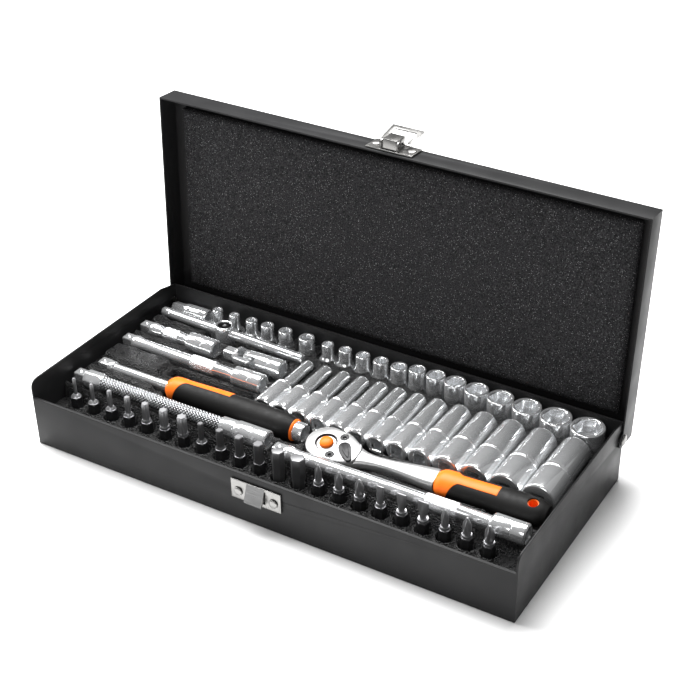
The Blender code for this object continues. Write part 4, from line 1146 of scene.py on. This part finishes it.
def make_ratchet():
    place = standing(HEAD_PLACE.x, HEAD_PLACE.y, HEAD_TOP)
    base = place @ Matrix.Rotation(HANDLE_TURN, 4, "Z") @ Matrix.Rotation(HANDLE_ROLL, 4, "X")
    body = prism(head_outline(0.0), -HEAD_DEPTH, 0.0)
    made = mesh_object("ratchet_head", body, SATIN, base, edge=0.8, segments=5)
    cut_away(made, mesh_object("cover_way", prism(head_outline(0.9), -1.0, 3.0), SATIN, base, edge=0))
    finish_piece(made, "ratchet", "satin_chrome", "ratchet_body")
    plate = mesh_object("ratchet_plate", prism(head_outline(1.02), -1.3, -0.04), SATIN, base)
    cut_away(plate, loft("ring_way", [(-4, 12.5), (4, 12.5)], SATIN, base, edge=0))
    for side, (x, y) in SCREW_PLACES:
        place = moved(base, x, y, 0)
        cut_away(plate, loft("screw_way", [(-4, 5.1), (4, 5.1)], SATIN, place, edge=0))
        screw = [(-1.2, 4.9), (-0.3, 4.9), (-0.1, 4.4), (-0.1, star_outline, 2.2),
                 (-1.0, star_outline, 2.0)]
        lofted_piece(
            f"plate_screw_{side}", screw, BLACK, place,
            "ratchet", "black_steel", f"cover_screw_{side}", edge=0.06,
        )
    finish_piece(plate, "ratchet", "satin_chrome", "ratchet_cover")
    make_button(base)
    make_neck(base)
    make_lever(base)
    make_ratchet_grip(base)


def head_outline(shrink):
    """The pear-shaped head seen from above, with its nose where the neck starts."""
    head = arc((0, 0), 11.4 - shrink, 72, 288, 40)
    front = [(8.5, -10.8), (12.0, -10.5), (17.0, -9.0), (20.6 - shrink, -7.0)]
    back = [(20.6 - shrink, 3.8), (17.0, 6.0), (12.0, 9.2), (8.5, 10.4)]
    points = [*head, *[(x, y + shrink) for x, y in front], *[(x, y - shrink) for x, y in back]]
    return smooth_outline(points)


def make_button(base):
    ring = [(-3.2, 12.2), (-0.3, 12.2), (-0.1, 11.9), (-0.7, 10.6),
            (-1.6, 10.2), (-1.6, 8.3), (-3.4, 8.3)]
    lofted_piece(
        "drive_ring", ring, BLACK, base, "ratchet_drive", "polished_chrome", "ratchet_drive", edge=0.06
    )
    below = [*drive_square(-19.5), (-12.2, 11.4), (-12.0, 12.6), (-11.4, 12.6)]
    lofted_piece("ratchet_square", below, CHROME, base, "ratchet_drive", "polished_chrome")
    button = [(-2.2, 7.8), (-0.3, 7.8)]
    button += [(-0.28 + z, size) for z, size in dome(3.9, 2.1, 10)]
    lofted_piece(
        "button", button, ORANGE, base,
        "quick_release_button", "orange_plastic", "quick_release_button", edge=0,
    )


def make_neck(base):
    """The forged neck: as deep as the head at first, waisted, then flared to the grip's collar."""
    profile = [
        (14.0, 8.4, -1.5, 8.6, -5.6), (18.0, 7.2, -1.4, 8.2, -4.7), (22.0, 5.3, -1.3, 7.2, -4.3),
        (26.0, 4.2, -1.1, 6.6, -4.2), (31.0, 3.7, -0.8, 6.2, -4.1), (38.0, 3.7, -0.4, 6.0, -3.9),
        (46.0, 4.5, -0.1, 6.2, -3.8), (54.0, 5.6, 0.0, 6.8, -3.7), (60.0, 6.3, 0.0, 7.6, -3.7),
        (66.6, 6.6, 0.0, 8.8, -3.7),
    ]
    heights = [row[0] for row in profile]
    mesh_data = bmesh.new()
    rings = []
    sides = 40
    for along in np.arange(heights[0], heights[-1] + 0.1, 1.1):
        half, across, thick, middle = (float(np.interp(along, heights, [row[n] for row in profile]))
                                       for n in (1, 2, 3, 4))
        ring = []
        for index in range(sides):
            angle = math.tau * index / sides
            c, s = math.cos(angle), math.sin(angle)
            y = across + half * math.copysign(abs(c) ** 0.6, c)
            z = middle + thick / 2 * math.copysign(abs(s) ** 0.6, s)
            ring.append(mesh_data.verts.new((float(along), y, z)))
        rings.append(ring)
    made = mesh_object("ratchet_neck", skin(mesh_data, rings), SATIN, base, edge=0, sharp=50)
    finish_piece(made, "ratchet", "satin_chrome")


def make_lever(base):
    place = moved(base, *LEVER_PLACE, 0) @ Matrix.Rotation(math.radians(-50), 4, "Z")
    side = [*arc((0, 0), 3.4, 180, 74, 12), (5.2, 2.6), (9.4, 1.5), (10.4, 0.6)]
    mesh_data = prism(smooth_outline(mirrored(side)), 0.3, 2.0)
    made = mesh_object("reverse_lever", mesh_data, BLACK, place, edge=0.5, segments=4)
    finish_piece(made, "reversing_lever", "black_steel", "reversing_lever")
    ridge = [(-2.2, -1.5), (2.6, -1.8), (8.4, -0.5), (8.4, 0.5), (2.6, 1.8), (-2.2, 1.5)]
    mesh_data = prism(smooth_outline(ridge), 1.6, 2.5)
    made = mesh_object("lever_facets", mesh_data, BLACK, place, edge=0.55, segments=3)
    finish_piece(made, "reversing_lever", "black_steel")
    post = [(-1.2, 4.2), (0.35, 4.2)]
    lofted_piece("lever_post", post, DARK_STEEL, place, "reversing_lever", "black_steel", edge=0.05)


def make_ratchet_grip(base):
    place = moved(base, 0, 0, -GRIP_DEPTH) @ turned_axes()
    profile = [
        (66.2, 10.2), (67.2, 12.2), (69.4, 13.3), (72.0, 13.5), (84.0, 13.7), (98.0, 14.1), (114.0, 14.5),
        (121.0, 14.0), (125.0, 12.8), (127.8, 9.6),
    ]
    sleeve = grip("ratchet", profile, 71.5, 101.0, place, "ratchet",
                  ("ratchet_grip_sleeve", "ratchet_grip_collar"), math.radians(-3), 1.16)
    hole_place = moved(place, 0, 0, 119.8) @ Matrix.Rotation(math.pi / 2, 4, "Y")
    cutter = loft("hole_way", [(-20, 6.0), (20, 6.0)], RUBBER, hole_place, edge=0)
    cut_away(sleeve, cutter)
    lining = [(-5.9, 5.95), (5.9, 5.95), (5.9, 5.0), (-5.9, 5.0)]
    lofted_piece(
        "hanging_eye", lining, ORANGE, hole_place, "ratchet", "orange_plastic", through=True, edge=0
    )


# --- Stage --------------------------------------------------------------------------------------------


def make_floor():
    mesh = bpy.data.meshes.new("floor")
    half = 4.0
    corners = [(-half, -half, 0), (half, -half, 0), (half, half, 0), (-half, half, 0)]
    mesh.from_pydata(corners, [], [(0, 1, 2, 3)])
    made = bpy.data.objects.new("floor", mesh)
    made.location.z = -0.0002
    bpy.context.scene.collection.objects.link(made)
    surface = Surface("pale_floor", (0.90, 0.90, 0.90), 0.6)
    mesh.materials.append(surface.material)


def area_light(name, place, target, size, power):
    data = bpy.data.lights.new(name, "AREA")
    data.shape = "RECTANGLE"
    data.size, data.size_y = size
    data.energy = power
    made = bpy.data.objects.new(name, data)
    made.location = place
    made.rotation_euler = (Vector(target) - Vector(place)).to_track_quat("-Z", "Y").to_euler()
    bpy.context.scene.collection.objects.link(made)


def make_lights():
    world = bpy.data.worlds.new("studio")
    world.use_nodes = True
    background = world.node_tree.nodes["Background"]
    background.inputs["Color"].default_value = (1.0, 1.0, 1.0, 1.0)
    background.inputs["Strength"].default_value = 0.16
    bpy.context.scene.world = world
    bpy.context.scene.view_settings.view_transform = "Standard"
    middle = (0.0, 0.0, 0.03)
    area_light("overhead_softbox", (-0.22, 0.26, 0.90), middle, (0.9, 0.6), 29.0)
    area_light("left_softbox", (-0.9, -0.05, 0.60), middle, (0.5, 0.6), 9.0)
    area_light("front_softbox", (0.25, -1.1, 0.75), middle, (0.7, 0.4), 3.0)


CAMERA_PLACE = (0.35165, -0.54590, 0.48513)
CAMERA_AZIMUTH = math.radians(28.448)
CAMERA_ELEVATION = math.radians(34.413)
CAMERA_ROLL = math.radians(0.885)
CAMERA_LENS = 73.84
CAMERA_SHIFT = (-0.0905, 0.0731)


def make_camera():
    data = bpy.data.cameras.new("camera")
    data.sensor_width = 36.0
    data.lens = CAMERA_LENS
    data.shift_x, data.shift_y = CAMERA_SHIFT
    data.clip_start = 0.01
    made = bpy.data.objects.new("camera", data)
    turn = Matrix.Rotation(CAMERA_AZIMUTH, 4, "Z") @ Matrix.Rotation(math.pi / 2 - CAMERA_ELEVATION, 4, "X")
    made.matrix_world = Matrix.Translation(CAMERA_PLACE) @ turn @ Matrix.Rotation(CAMERA_ROLL, 4, "Z")
    bpy.context.scene.collection.objects.link(made)
    bpy.context.scene.camera = made


make_camera()
make_floor()
make_lights()
make_case()
make_hem()
make_rivets()
make_foam()
make_tray()
make_sockets()
make_bits()
make_extensions()
make_flexible_extension()
make_bit_adapter()
make_spinner()
make_t_bar()
make_universal_joint()
make_ratchet()
